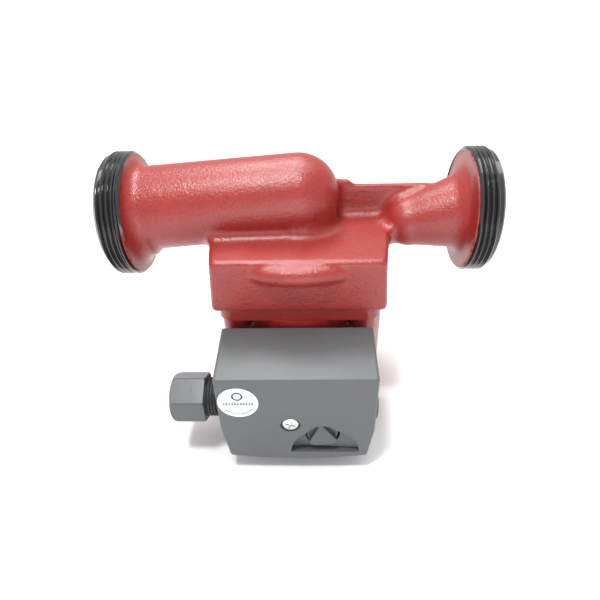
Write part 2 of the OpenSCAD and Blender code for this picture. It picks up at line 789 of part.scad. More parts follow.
module terminal_screws() {
    z0 = base_z1 - base_wall - 12;
    color("silver") for (i = [0 : 2]) difference() {
        rod_y(9 + 6 * i, z0 + 6, base_floor_y + 9, base_floor_y + 11, 1.9);
        translate([9 + 6 * i - 3, -base_floor_y - 12, z0 + 5.7]) cube([6, 1.8, 0.6]);
    }
}

module earth_screw() {
    color("goldenrod") difference() {
        rod_y(-20.5, 23, base_floor_y, base_floor_y + 3, 3);
        translate([-24.5, -base_floor_y - 4, 22.6]) cube([8, 2, 0.8]);
    }
}

module base_screws() {
    color("silver") for (p = base_screw_spots) {
        rod_y(p[0], p[1], base_floor_y, base_floor_y + 1.8, 2.9);
        rod_y(p[0], p[1], base_screw_tip(p[0]) + 0.5, base_floor_y + eps, 1.5);
    }
}

// ------------------------------------------------------------ cable gland

module gland_body() {
    color([0.12, 0.12, 0.13]) difference() {
        union() {
            rod_x(-1, gland_z, flange_in_x - washer_t - gland_flange_t, flange_in_x - washer_t,
                entry_boss_r - 0.2);
            rod_x(-1, gland_z, flange_in_x - washer_t - eps, gland_mouth_x, entry_r);
        }
        rod_x(-1, gland_z, 10, gland_mouth_x + 1, cable_d / 2 + 0.5);
        rod_x(-1, gland_z, gland_mouth_x - 8, gland_mouth_x + 1, mouth_r);
    }
}

module gland_washer() {
    color("black") difference() {
        rod_x(-1, gland_z, flange_in_x - washer_t, flange_in_x, entry_boss_r - 0.2);
        rod_x(-1, gland_z, 10, 50, entry_r + seat_gap);
    }
}

module gland_seal() {
    color("black") difference() {
        rod_x(-1, gland_z, gland_mouth_x - 8, gland_mouth_x - 3.8, mouth_r);
        rod_x(-1, gland_z, 10, gland_mouth_x, cable_d / 2 + 0.2);
    }
}

module gland_clamp_ring() {
    color("dimgray") difference() {
        union() {
            rod_x(-1, gland_z, gland_mouth_x + 2.8, nut_floor_x, entry_r - 0.3);
            rod_x(-1, gland_z, clamp_nose_x, gland_mouth_x + 2.9, mouth_r - free_gap);
        }
        rod_x(-1, gland_z, 10, 80, cable_d / 2 + 0.3);
    }
}

module gland_nut() {
    chamfer = 2;
    color([0.24, 0.25, 0.27]) difference() {
        intersection() {
            rod_x(-1, gland_z, nut_x0, nut_x1, nut_corner_r, 6);
            union() {
                rod_x(-1, gland_z, nut_x0 - 1, nut_x1 - chamfer, nut_corner_r + 1);
                translate([-nut_x1 + chamfer + eps, -entry_y, gland_z]) rotate([0, -90, 0])
                    cylinder(h = chamfer + eps, r1 = nut_corner_r + 0.2, r2 = nut_corner_r - 2);
            }
        }
        rod_x(-1, gland_z, nut_x0 - 1, nut_floor_x, entry_r + run_gap);
        rod_x(-1, gland_z, nut_floor_x - 1, nut_x1 + 1, cable_d / 2 + 0.5);
    }
}

module blanking_plug() {
    head_t = 2;
    color([0.17, 0.17, 0.18]) {
        rod_x(1, blank_z, blank_side_x + 0.4, blank_side_x + 0.4 + head_t, blank_boss_r);
        rod_x(1, blank_z, flange_in_x, blank_side_x + 0.4 + eps, blank_r);
    }
}

// ---------------------------------------------------------------- assembly

pump_housing();
wear_ring();
housing_gasket();
bearing_plate();
front_bearing();
rotor_can();
rear_bearing();
stator_housing();
stator_core();
stator_windings();
winding_insulators();
housing_screws();
nameplate();
shaft();
rotor_core();
rotor_end_rings();
rotor_cladding();
thrust_cushion();
thrust_bearing();
impeller();
impeller_cap();
vent_plug();
vent_seal();
terminal_base();
terminal_cover();
cover_gasket();
cover_screw();
cover_label();
speed_knob();
switch_spindle();
speed_switch();
run_capacitor();
terminal_block();
terminal_screws();
earth_screw();
base_screws();
gland_body();
gland_washer();
gland_seal();
gland_clamp_ring();
gland_nut();
blanking_plug();
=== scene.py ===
"""Looks of an in-line circulator pump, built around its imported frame."""

import logging
import math
from dataclasses import dataclass, field
from enum import Enum
from typing import Callable, Iterable, Sequence

import bpy
from mathutils import Matrix, Vector


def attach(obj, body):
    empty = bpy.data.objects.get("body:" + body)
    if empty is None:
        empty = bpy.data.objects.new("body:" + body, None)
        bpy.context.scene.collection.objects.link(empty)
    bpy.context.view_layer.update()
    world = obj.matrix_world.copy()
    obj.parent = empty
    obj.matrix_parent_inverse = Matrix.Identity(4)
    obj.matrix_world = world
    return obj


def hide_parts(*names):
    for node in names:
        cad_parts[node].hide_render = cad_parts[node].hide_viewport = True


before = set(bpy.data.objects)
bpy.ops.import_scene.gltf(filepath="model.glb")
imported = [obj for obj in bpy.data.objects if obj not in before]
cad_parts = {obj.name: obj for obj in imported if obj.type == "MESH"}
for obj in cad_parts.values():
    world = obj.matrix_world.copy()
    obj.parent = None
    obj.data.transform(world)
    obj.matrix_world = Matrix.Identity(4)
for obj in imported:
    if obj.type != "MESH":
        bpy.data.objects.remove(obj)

logging.basicConfig(level=logging.INFO, format="%(message)s")
log = logging.getLogger("circulator")

MM = 0.001
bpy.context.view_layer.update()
UP = Vector((0, 0, 1))
FRONT = Vector((0, -1, 0))
LEFT = Vector((-1, 0, 0))
RIGHT = Vector((1, 0, 0))
ORIGIN = Vector((0, 0, 0))


class Body(str, Enum):
    """The moving bodies that pieces ride on."""

    PUMP = "pump"
    ROTOR = "rotor"
    SELECTOR = "speed_selector"
    CLAMP = "gland_clamp"
    NUT = "gland_nut"
    VENT_RING = "vent_ring"
    VENT = "vent_plug"


class Surface(Enum):
    """How a finish was made, which decides the pattern it gets."""

    CAST = "sand casting under enamel"
    MOULDED = "spark-eroded mould"
    TURNED = "turned about an axis"
    BRUSHED = "drawn or brushed along an axis"
    LAMINATED = "stacked sheets"
    WOUND = "layers of wire"
    PLAIN = "smooth"


class Cut(str, Enum):
    """Ways to combine two solids."""

    ADD = "UNION"
    REMOVE = "DIFFERENCE"
    KEEP = "INTERSECT"


# ------------------------------------------------------------------ modelling


def point(x: float, y: float, z: float) -> Vector:
    """A point or a length given in millimetres, in metres."""
    return Vector((x, y, z)) * MM


class Bench:
    """The modelling moves that every piece is made with."""

    @staticmethod
    def clear() -> None:
        """Leaves edit mode with nothing selected."""
        if bpy.context.mode != "OBJECT":
            bpy.ops.object.mode_set(mode="OBJECT")
        bpy.ops.object.select_all(action="DESELECT")

    @staticmethod
    def take(piece: bpy.types.Object, *others: bpy.types.Object) -> bpy.types.Object:
        """Selects a piece, makes it active and selects others with it."""
        Bench.clear()
        for each in (piece, *others):
            each.select_set(True)
        bpy.context.view_layer.objects.active = piece
        return piece

    @staticmethod
    def settle(name: str) -> bpy.types.Object:
        """Names the newly added piece and puts its place into its mesh."""
        piece = bpy.context.active_object
        piece.name = piece.data.name = name
        Bench.take(piece)
        bpy.ops.object.transform_apply(location=True, rotation=True, scale=True)
        return piece

    @staticmethod
    def rod(
        name: str, start: Vector, end: Vector, radius: float, end_radius: float | None = None,
        sides: int = 96,
    ) -> bpy.types.Object:
        """A cylinder or cone between two points.

        Args:
            name: Name of the piece.
            start: Centre of the first face, in metres.
            end: Centre of the last face, in metres.
            radius: Radius at the first face, in millimetres.
            end_radius: Radius at the last face, if it differs.
            sides: Number of sides.

        Returns:
            The piece, with its place in its mesh.
        """
        Bench.clear()
        along = end - start
        bpy.ops.mesh.primitive_cone_add(
            vertices=sides, radius1=radius * MM,
            radius2=(radius if end_radius is None else end_radius) * MM,
            depth=along.length, location=(start + end) / 2,
            rotation=along.to_track_quat("Z", "Y").to_euler(),
        )
        return Bench.settle(name)

    @staticmethod
    def ball(name: str, centre: Vector, radius: float) -> bpy.types.Object:
        """A sphere of a radius in millimetres."""
        Bench.clear()
        bpy.ops.mesh.primitive_uv_sphere_add(
            segments=64, ring_count=32, radius=radius * MM, location=centre
        )
        return Bench.settle(name)

    @staticmethod
    def block(name: str, low: Vector, high: Vector) -> bpy.types.Object:
        """A box between two corners."""
        Bench.clear()
        bpy.ops.mesh.primitive_cube_add(size=1, location=(low + high) / 2, scale=high - low)
        return Bench.settle(name)

    @staticmethod
    def outline(points: Sequence[tuple[float, float]], closed: bool) -> bpy.types.Object:
        """Draws an outline upright on the X axis, and stays in edit mode.

        Args:
            points: Points (x, z), in millimetres, in order.
            closed: Whether the last point is joined to the first.

        Returns:
            The outline.
        """
        Bench.clear()
        bpy.ops.mesh.primitive_plane_add(size=MM)
        bpy.ops.object.mode_set(mode="EDIT")
        bpy.ops.mesh.select_all(action="SELECT")
        bpy.ops.mesh.merge(type="CENTER")
        here = Vector((points[0][0], 0, points[0][1])) * MM
        bpy.ops.transform.translate(value=here)
        for x, z in points[1:]:
            there = Vector((x, 0, z)) * MM
            bpy.ops.mesh.extrude_region_move(TRANSFORM_OT_translate={"value": there - here})
            here = there
        if closed:
            bpy.ops.object.mode_set(mode="OBJECT")
            ends = bpy.context.active_object.data.vertices
            for vertex in ends:
                vertex.select = vertex.index in (0, len(ends) - 1)
            bpy.ops.object.mode_set(mode="EDIT")
            bpy.ops.mesh.edge_face_add()
        return bpy.context.active_object

    @staticmethod
    def turned(
        name: str, profile: Sequence[tuple[float, float]], foot: Vector, along: Vector,
        steps: int = 96,
    ) -> bpy.types.Object:
        """A piece turned about an axis from a closed profile.

        Args:
            name: Name of the piece.
            profile: Points (radius, distance along the axis), in millimetres, in order.
            foot: Where the axis starts, in metres.
            along: Direction of the axis.
            steps: Number of steps in a turn.

        Returns:
            The turned piece, closed and facing outwards.
        """
        piece = Bench.outline(profile, closed=min(radius for radius, _ in profile) > 1e-6)
        bpy.ops.mesh.select_all(action="SELECT")
        bpy.ops.mesh.spin(steps=steps, angle=math.tau, center=(0, 0, 0), axis=(0, 0, 1))
        bpy.ops.mesh.select_all(action="SELECT")
        bpy.ops.mesh.remove_doubles(threshold=1e-7)
        bpy.ops.mesh.normals_make_consistent(inside=False)
        bpy.ops.object.mode_set(mode="OBJECT")
        piece.rotation_euler = along.to_track_quat("Z", "Y").to_euler()
        piece.location = foot
        return Bench.settle(name)

    @staticmethod
    def modify(piece: bpy.types.Object, kind: str, **settings: object) -> bpy.types.Object:
        """Adds one modifier with its settings and applies it."""
        Bench.take(piece)
        modifier = piece.modifiers.new(kind.title(), kind)
        for key, value in settings.items():
            setattr(modifier, key, value)
        bpy.ops.object.modifier_apply(modifier=modifier.name)
        return piece

    @staticmethod
    def combine(
        piece: bpy.types.Object, how: Cut, *tools: bpy.types.Object, fast: bool = False
    ) -> bpy.types.Object:
        """Combines a piece with tools in order, which are used up."""
        for tool in tools:
            Bench.modify(
                piece, "BOOLEAN", object=tool, operation=how.value,
                solver="FAST" if fast else "EXACT",
            )
            bpy.data.objects.remove(tool, do_unlink=True)
        return piece

    @staticmethod
    def join(piece: bpy.types.Object, *others: bpy.types.Object) -> bpy.types.Object:
        """Joins others into a piece."""
        Bench.take(piece, *others)
        bpy.ops.object.join()
        return piece

    @staticmethod
    def edges(
        piece: bpy.types.Object, width: float, segments: int = 3, angle: float = 30
    ) -> bpy.types.Object:
        """Rounds the edges sharper than an angle by a width in millimetres."""
        return Bench.modify(
            piece, "BEVEL", width=width * MM, segments=segments, limit_method="ANGLE",
            angle_limit=math.radians(angle), use_clamp_overlap=True,
        )

    @staticmethod
    def melt(piece: bpy.types.Object, voxel: float) -> bpy.types.Object:
        """Turns overlapping solids into one skin of even cells, in millimetres."""
        return Bench.modify(piece, "REMESH", mode="VOXEL", voxel_size=voxel * MM)

    @staticmethod
    def swell(piece: bpy.types.Object, distance: float) -> bpy.types.Object:
        """Moves the skin outwards by a distance in millimetres."""
        return Bench.modify(piece, "DISPLACE", strength=distance * MM, mid_level=0.0)

    @staticmethod
    def soften(piece: bpy.types.Object, times: int, factor: float = 0.5) -> bpy.types.Object:
        """Smooths the skin a number of times."""
        return Bench.modify(piece, "SMOOTH", factor=factor, iterations=times)

    @staticmethod
    def copy(piece: bpy.types.Object, name: str) -> bpy.types.Object:
        """A copy of a piece with its own mesh, free of any parent."""
        twin = piece.copy()
        twin.data = piece.data.copy()
        for key in list(twin.keys()):
            del twin[key]
        twin.parent = None
        twin.matrix_world = Matrix.Identity(4)
        twin.name = twin.data.name = name
        bpy.context.scene.collection.objects.link(twin)
        return twin

    @staticmethod
    def merged(node: str, name: str) -> bpy.types.Object:
        """A copy of a plain solid with its points merged and its flat faces joined."""
        piece = Bench.copy(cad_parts[node], name)
        Bench.take(piece)
        bpy.ops.object.mode_set(mode="EDIT")
        bpy.ops.mesh.select_all(action="SELECT")
        bpy.ops.mesh.remove_doubles(threshold=1e-6)
        bpy.ops.mesh.dissolve_limited(angle_limit=math.radians(1))
        bpy.ops.object.mode_set(mode="OBJECT")
        return piece

    @staticmethod
    def mesh_edit(piece: bpy.types.Object, pick: Callable[[Vector], bool], **move: object) -> None:
        """Selects vertices by place and moves or scales them.

        Args:
            piece: The piece.
            pick: Says of a vertex's place in millimetres whether it is selected.
            move: value for a shift in metres, or scale and centre for a resize.
        """
        Bench.take(piece)
        for part in (*piece.data.edges, *piece.data.polygons):
            part.select = False
        for vertex in piece.data.vertices:
            vertex.select = pick(vertex.co / MM)
        bpy.ops.object.mode_set(mode="EDIT")
        if "value" in move:
            bpy.ops.transform.translate(value=move["value"])
        else:
            bpy.ops.transform.resize(value=move["scale"], center_override=move["centre"])
        bpy.ops.object.mode_set(mode="OBJECT")

    @staticmethod
    def slice(piece: bpy.types.Object, at: Vector, normal: Vector) -> None:
        """Adds an edge loop where a plane crosses the piece."""
        Bench.take(piece)
        bpy.ops.object.mode_set(mode="EDIT")
        bpy.ops.mesh.select_all(action="SELECT")
        bpy.ops.mesh.bisect(plane_co=at, plane_no=normal)
        bpy.ops.object.mode_set(mode="OBJECT")

    @staticmethod
    def trim(piece: bpy.types.Object, at: Vector, normal: Vector) -> None:
        """Cuts off what lies past a plane and closes the cut."""
        Bench.take(piece)
        bpy.ops.object.mode_set(mode="EDIT")
        bpy.ops.mesh.select_all(action="SELECT")
        bpy.ops.mesh.bisect(plane_co=at, plane_no=normal, clear_outer=True, use_fill=True)
        bpy.ops.object.mode_set(mode="OBJECT")

    @staticmethod
    def shade(piece: bpy.types.Object, angle: float = 35) -> bpy.types.Object:
        """Shades a piece smooth up to an angle."""
        Bench.take(piece)
        bpy.ops.object.shade_smooth_by_angle(angle=math.radians(angle))
        return piece

    @staticmethod
    def place(
        piece: bpy.types.Object, body: Body, finish: "Finish", *nodes: str, angle: float = 35,
        level: bool = False,
    ) -> bpy.types.Object:
        """Shades, dresses and hangs a finished piece on its body.

        Args:
            piece: The finished piece.
            body: The body it moves with.
            finish: Its finish.
            nodes: The plain solids that it stands for.
            angle: Angle up to which it is shaded smooth.
            level: Whether large flat faces keep their own shading beside round edges.

        Returns:
            The piece.
        """
        Bench.shade(piece, angle)
        if level:
            Bench.modify(piece, "WEIGHTED_NORMAL", keep_sharp=True, weight=80)
        piece.data.materials.clear()
        piece.data.materials.append(finish.material())
        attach(piece, body.value)
        if nodes:
            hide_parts(*nodes)
        log.info("%s: %d faces on %s", piece.name, len(piece.data.polygons), body.value)
        return piece


# ------------------------------------------------------------------ finishes


class Graph:
    """A small writer of shader nodes and their links."""

    def __init__(self, tree: bpy.types.NodeTree) -> None:
        """Keeps the tree it writes to."""
        self.tree = tree

    def ends(self) -> tuple[bpy.types.Node, bpy.types.Node]:
        """Adds the input and the output of a group."""
        return self.tree.nodes.new("NodeGroupInput"), self.tree.nodes.new("NodeGroupOutput")

    def add(
        self, kind: str, values: dict[str | int, object] | None = None, **settings: object
    ) -> bpy.types.Node:
        """Adds a node.

        Args:
            kind: Node type, without its prefix.
            values: Socket names or numbers with a value or an output to link.
            settings: Properties of the node itself.

        Returns:
            The node.
        """
        node = self.tree.nodes.new("ShaderNode" + kind)
        for key, value in settings.items():
            setattr(node, key, value)
        for key, value in (values or {}).items():
            socket = node.inputs[key]
            if isinstance(value, bpy.types.NodeSocket):
                self.tree.links.new(value, socket)
            else:
                socket.default_value = value
        return node

    def math(self, operation: str, a: object, b: object = 0.0, clamp: bool = False) -> bpy.types.NodeSocket:
        """One sum of two values or sockets."""
        return self.add("Math", {0: a, 1: b}, operation=operation, use_clamp=clamp).outputs[0]

    def noise(
        self, place: object, scale: float, detail: float = 3.0, rough: float = 0.55
    ) -> bpy.types.NodeSocket:
        """Noise over a place, from 0 to 1."""
        return self.add(
            "TexNoise", {"Vector": place, "Scale": scale, "Detail": detail, "Roughness": rough}
        ).outputs["Fac"]

    def ramp(
        self, value: object, low: float, high: float, to_low: float = 0.0, to_high: float = 1.0
    ) -> bpy.types.NodeSocket:
        """A value brought from one range to another and held there."""
        return self.add("MapRange", {
            "Value": value, "From Min": low, "From Max": high, "To Min": to_low, "To Max": to_high,
        }).outputs["Result"]

    def blend(self, share: object, a: object, b: object, how: str = "MIX") -> bpy.types.NodeSocket:
        """Two colours mixed by a share."""
        node = self.add("Mix", data_type="RGBA", blend_type=how)
        for index, value in ((0, share), (6, a), (7, b)):
            if isinstance(value, bpy.types.NodeSocket):
                self.tree.links.new(value, node.inputs[index])
            else:
                node.inputs[index].default_value = value
        return node.outputs[2]


class Effects:
    """Shared surface effects, each a node group that is made once."""

    @staticmethod
    def group(name: str, sockets: Iterable[tuple[str, str, str]]) -> tuple[bpy.types.NodeTree, bool]:
        """Finds or starts a group.

        Args:
            name: Name of the group.
            sockets: Socket names with IN or OUT and their kinds.

        Returns:
            The group, and whether it is new.
        """
        if name in bpy.data.node_groups:
            return bpy.data.node_groups[name], False
        tree = bpy.data.node_groups.new(name, "ShaderNodeTree")
        for label, way, kind in sockets:
            tree.interface.new_socket(
                name=label, in_out="INPUT" if way == "IN" else "OUTPUT", socket_type="NodeSocket" + kind
            )
        return tree, True

    @staticmethod
    def drift() -> bpy.types.NodeTree:
        """Slow change of a colour between a main and a second tone."""
        tree, new = Effects.group("colour_drift", (
            ("Place", "IN", "Vector"), ("Main", "IN", "Color"), ("Second", "IN", "Color"),
            ("Scale", "IN", "Float"), ("Amount", "IN", "Float"), ("Color", "OUT", "Color"),
        ))
        if new:
            g = Graph(tree)
            i, o = g.ends()
            broad = g.noise(i.outputs["Place"], 0.0, 4.0)
            tree.links.new(i.outputs["Scale"], broad.node.inputs["Scale"])
            fine = g.noise(i.outputs["Place"], 0.0, 2.0)
            tree.links.new(g.math("MULTIPLY", i.outputs["Scale"], 9.0), fine.node.inputs["Scale"])
            both = g.math("ADD", g.math("MULTIPLY", broad, 0.7), g.math("MULTIPLY", fine, 0.3))
            share = g.math("MULTIPLY", g.ramp(both, 0.35, 0.65), i.outputs["Amount"])
            tree.links.new(g.blend(share, i.outputs["Main"], i.outputs["Second"]), o.inputs["Color"])
        return tree

    @staticmethod
    def grain() -> bpy.types.NodeTree:
        """Height of a coarse and a fine grain, and a mask of its hollows for painted shade."""
        tree, new = Effects.group("surface_grain", (
            ("Place", "IN", "Vector"), ("Coarse", "IN", "Float"), ("Fine", "IN", "Float"),
            ("Share", "IN", "Float"), ("Height", "OUT", "Float"), ("HollowShade", "OUT", "Float"),
        ))
        if new:
            g = Graph(tree)
            i, o = g.ends()
            coarse = g.noise(i.outputs["Place"], 0.0, 2.5, 0.5)
            tree.links.new(i.outputs["Coarse"], coarse.node.inputs["Scale"])
            fine = g.noise(i.outputs["Place"], 0.0, 2.0, 0.6)
            tree.links.new(i.outputs["Fine"], fine.node.inputs["Scale"])
            rest = g.math("SUBTRACT", 1.0, i.outputs["Share"])
            height = g.math(
                "ADD", g.math("MULTIPLY", coarse, rest), g.math("MULTIPLY", fine, i.outputs["Share"])
            )
            tree.links.new(height, o.inputs["Height"])
            # Painted shade: mask of the grain's hollows, where the colour is darkened.
            tree.links.new(g.ramp(coarse, 0.52, 0.32), o.inputs["HollowShade"])
        return tree

    @staticmethod
    def rings() -> bpy.types.NodeTree:
        """Fine tool marks about the Z axis of the place given."""
        tree, new = Effects.group("tool_rings", (
            ("Place", "IN", "Vector"), ("Pitch", "IN", "Float"), ("Marks", "OUT", "Float"),
        ))
        if new:
            g = Graph(tree)
            i, o = g.ends()
            parts = g.add("SeparateXYZ", {0: i.outputs["Place"]})
            radius = g.math("SQRT", g.math(
                "ADD", g.math("MULTIPLY", parts.outputs[0], parts.outputs[0]),
                g.math("MULTIPLY", parts.outputs[1], parts.outputs[1]),
            ))
            flat = g.add("CombineXYZ", {0: radius, 1: parts.outputs[2]}).outputs[0]
            marks = g.noise(flat, 0.0, 3.0, 0.7)
            tree.links.new(i.outputs["Pitch"], marks.node.inputs["Scale"])
            tree.links.new(marks, o.inputs["Marks"])
        return tree

    @staticmethod
    def streaks() -> bpy.types.NodeTree:
        """Fine streaks along the X axis of the place given."""
        tree, new = Effects.group("drawn_streaks", (
            ("Place", "IN", "Vector"), ("Pitch", "IN", "Float"), ("Marks", "OUT", "Float"),
        ))
        if new:
            g = Graph(tree)
            i, o = g.ends()
            parts = g.add("SeparateXYZ", {0: i.outputs["Place"]})
            drawn = g.add("CombineXYZ", {
                0: g.math("MULTIPLY", parts.outputs[0], 0.02), 1: parts.outputs[1], 2: parts.outputs[2],
            }).outputs[0]
            marks = g.noise(drawn, 0.0, 3.0, 0.7)
            tree.links.new(i.outputs["Pitch"], marks.node.inputs["Scale"])
            tree.links.new(marks, o.inputs["Marks"])
        return tree

    @staticmethod
    def dust() -> bpy.types.NodeTree:
        """Mask of the dust that settles on faces that look up."""
        tree, new = Effects.group("settled_dust", (
            ("Place", "IN", "Vector"), ("Amount", "IN", "Float"), ("Mask", "OUT", "Float"),
        ))
        if new:
            g = Graph(tree)
            i, o = g.ends()
            normal = g.add("NewGeometry").outputs["Normal"]
            up = g.ramp(g.add("SeparateXYZ", {0: normal}).outputs[2], 0.3, 1.0)
            patches = g.ramp(g.noise(i.outputs["Place"], 60.0, 4.0), 0.35, 0.75)
            specks = g.ramp(g.noise(i.outputs["Place"], 1800.0, 2.0), 0.6, 0.72)
            spread = g.math("ADD", g.math("MULTIPLY", patches, 0.6), g.math("MULTIPLY", specks, 0.5))
            mask = g.math("MULTIPLY", g.math("MULTIPLY", up, spread), i.outputs["Amount"])
            tree.links.new(mask, o.inputs["Mask"])
        return tree


@dataclass(frozen=True)
class Finish:
    """A surface finish that is the same wherever it is used.

    The second tone and the painted shade in the grain's hollows are shares of the colour.
    """

    name: str
    slot: str
    colour: tuple[float, float, float]
    second: tuple[float, float, float]
    surface: Surface = Surface.PLAIN
    rough: float = 0.4
    rough_spread: float = 0.1
    metallic: float = 0.0
    coat: float = 0.0
    coat_rough: float = 0.1
    specular: float = 0.5
    coarse: float = 1.5
    fine: float = 0.35
    fine_share: float = 0.3
    depth: float = 0.05
    drift_size: float = 25.0
    drift: float = 0.6
    # Painted shade: share of the colour left in the grain's hollows.
    hollow_shade_tone: float = 0.8
    dust: float = 0.0
    axis: Vector = field(default_factory=lambda: UP.copy())
    centre: Vector = field(default_factory=lambda: ORIGIN.copy())

    def material(self) -> bpy.types.Material:
        """Finds or builds the material."""
        if self.name in bpy.data.materials:
            return bpy.data.materials[self.name]
        material = bpy.data.materials.new(self.name)
        material.use_nodes = True
        material.node_tree.nodes.clear()
        g = Graph(material.node_tree)
        place = self.place(g)
        grain = g.add("Group", {}, node_tree=Effects.grain())
        for key, value in (
            ("Coarse", 1000.0 / self.coarse), ("Fine", 1000.0 / self.fine), ("Share", self.fine_share),
        ):
            grain.inputs[key].default_value = value
        material.node_tree.links.new(place, grain.inputs["Place"])
        colour = self.tone(g, place, grain.outputs["HollowShade"])
        height, marks = self.pattern(g, place, grain.outputs["Height"])
        spread = g.math("MULTIPLY", marks, self.rough_spread)
        rough = g.math("ADD", spread, self.rough - self.rough_spread / 2)
        if self.dust:
            dust = g.add("Group", {"Place": place, "Amount": self.dust}, node_tree=Effects.dust())
            colour = g.blend(dust.outputs["Mask"], colour, (0.62, 0.6, 0.58, 1.0))
            rough = g.math("ADD", rough, g.math("MULTIPLY", dust.outputs["Mask"], 0.4), clamp=True)
        bump = g.add("Bump", {"Height": height, "Strength": 1.0, "Distance": self.depth * MM})
        shader = g.add("BsdfPrincipled", {
            "Base Color": colour, "Roughness": rough, "Metallic": self.metallic,
            "Normal": bump.outputs["Normal"], "Coat Weight": self.coat,
            "Coat Roughness": self.coat_rough, "Specular IOR Level": self.specular,
        })
        g.add("OutputMaterial", {"Surface": shader.outputs["BSDF"]})
        material.diffuse_color = (*self.colour, 1.0)
        return material

    def place(self, g: Graph) -> bpy.types.NodeSocket:
        """The piece's own coordinates, with Z turned to the finish's axis."""
        turn = self.axis.rotation_difference(UP).to_matrix().to_4x4()
        inverse = turn @ Matrix.Translation(-self.centre)
        mapping = g.add("Mapping", {
            "Vector": g.add("TexCoord").outputs["Object"],
            "Location": inverse.to_translation(), "Rotation": inverse.to_euler(),
        })
        return mapping.outputs[0]

    def tone(
        self, g: Graph, place: bpy.types.NodeSocket, hollows: bpy.types.NodeSocket
    ) -> bpy.types.NodeSocket:
        """The colour with its drift and painted shade in the grain's hollows."""
        drift = g.add("Group", {
            "Place": place, "Main": (*self.colour, 1.0), "Second": (*self.second, 1.0),
            "Scale": 1000.0 / self.drift_size, "Amount": self.drift,
        }, node_tree=Effects.drift())
        # Painted shade: the colour darkened in the grain's hollows.
        dark = g.blend(1.0, drift.outputs["Color"], (*(self.hollow_shade_tone,) * 3, 1.0), "MULTIPLY")
        return g.blend(g.math("MULTIPLY", hollows, 0.7), drift.outputs["Color"], dark)

    def pattern(
        self, g: Graph, place: bpy.types.NodeSocket, grain: bpy.types.NodeSocket
    ) -> tuple[bpy.types.NodeSocket, bpy.types.NodeSocket]:
        """Height and roughness marks of the way the surface was made."""
        if self.surface in (Surface.TURNED, Surface.BRUSHED):
            kind = Effects.rings if self.surface is Surface.TURNED else Effects.streaks
            marks = g.add(
                "Group", {"Place": place, "Pitch": 1000.0 / self.fine}, node_tree=kind()
            ).outputs["Marks"]
            return g.math("ADD", g.math("MULTIPLY", grain, 0.25), marks), marks
        if self.surface in (Surface.LAMINATED, Surface.WOUND):
            waver = 0.4 if self.surface is Surface.WOUND else 0.0
            lines = g.add("TexWave", {
                "Vector": place, "Scale": 1000.0 / self.fine / math.tau, "Distortion": waver,
                "Detail": 1.0,
            }, wave_type="BANDS", bands_direction="Z", wave_profile="SIN").outputs["Fac"]
            return g.math("ADD", g.math("MULTIPLY", grain, 0.3), lines), lines
        slow = g.noise(place, 1000.0 / (self.drift_size * 0.6), 3.0)
        return grain, slow


def red(share: float) -> tuple[float, float, float]:
    """The pump's red, darker or lighter by a share."""
    return (0.315 * share, 0.026 * share, 0.021 * share)


RED_CAST = Finish(
    "red_enamel_cast", "cast_red", red(1.0), red(0.82), Surface.CAST, rough=0.3, rough_spread=0.1,
    specular=0.6, coarse=1.2, fine=0.4, fine_share=0.35, depth=0.3, drift_size=26,
    drift=0.7, hollow_shade_tone=0.68, dust=0.04,
)
RED_MOTOR = Finish(
    "red_enamel_motor", "motor_red", red(0.95), red(0.8), Surface.CAST, rough=0.32,
    rough_spread=0.1, specular=0.6, coarse=1.6, fine=0.5, fine_share=0.3, depth=0.14,
    drift=0.6, hollow_shade_tone=0.8,
)
BLACK_THREAD = Finish(
    "black_lacquer_thread", "cast_red", (0.008, 0.008, 0.009), (0.02, 0.019, 0.019),
    Surface.CAST, rough=0.16, rough_spread=0.14, coat=0.6, coat_rough=0.08, coarse=0.9, fine=0.3,
    depth=0.05, drift_size=8, drift=0.6, hollow_shade_tone=0.8, dust=0.05,
)
STEEL = Finish(
    "pressed_stainless", "stainless", (0.62, 0.61, 0.6), (0.52, 0.51, 0.5), Surface.TURNED,
    rough=0.3, rough_spread=0.2, metallic=1.0, coarse=3, fine=0.2, depth=0.01, drift_size=12,
)
ZINC = Finish(
    "bright_zinc", "zinc_steel", (0.72, 0.73, 0.72), (0.6, 0.61, 0.62), Surface.TURNED, rough=0.26,
    rough_spread=0.16, metallic=1.0, coarse=0.8, fine=0.12, depth=0.01, drift_size=3, drift=0.7,
    hollow_shade_tone=0.85,
)
CORE = Finish(
    "core_sheets", "core_steel", (0.3, 0.3, 0.31), (0.2, 0.2, 0.21), Surface.LAMINATED, rough=0.45,
    rough_spread=0.2, metallic=1.0, coarse=2, fine=0.5, depth=0.08, drift_size=10,
)
COPPER = Finish(
    "enamelled_wire", "copper", (0.55, 0.2, 0.07), (0.42, 0.13, 0.05), Surface.WOUND, rough=0.3,
    rough_spread=0.15, metallic=0.7, coat=0.5, coarse=1.0, fine=0.7, depth=0.25, drift_size=6,
)
ALLOY = Finish(
    "die_cast_alloy", "rotor_alloy", (0.66, 0.67, 0.69), (0.55, 0.56, 0.58), Surface.CAST, rough=0.45,
    metallic=1.0, coarse=1.2, fine=0.3, depth=0.04, drift_size=8,
)
CARBON = Finish(
    "carbon_graphite", "carbon", (0.035, 0.035, 0.038), (0.055, 0.055, 0.06), Surface.TURNED,
    rough=0.42, rough_spread=0.1, coarse=0.6, fine=0.2, depth=0.01, drift_size=4,
)
CERAMIC = Finish(
    "ground_ceramic", "ceramic_white", (0.8, 0.78, 0.74), (0.74, 0.71, 0.66), Surface.TURNED,
    rough=0.28, rough_spread=0.12, coarse=0.5, fine=0.15, depth=0.005, drift_size=6, drift=0.4,
)
RUBBER = Finish(
    "moulded_rubber", "black_rubber", (0.018, 0.018, 0.018), (0.035, 0.034, 0.033), Surface.MOULDED,
    rough=0.62, rough_spread=0.14, coarse=0.5, fine=0.15, depth=0.02, drift_size=6, dust=0.1,
)
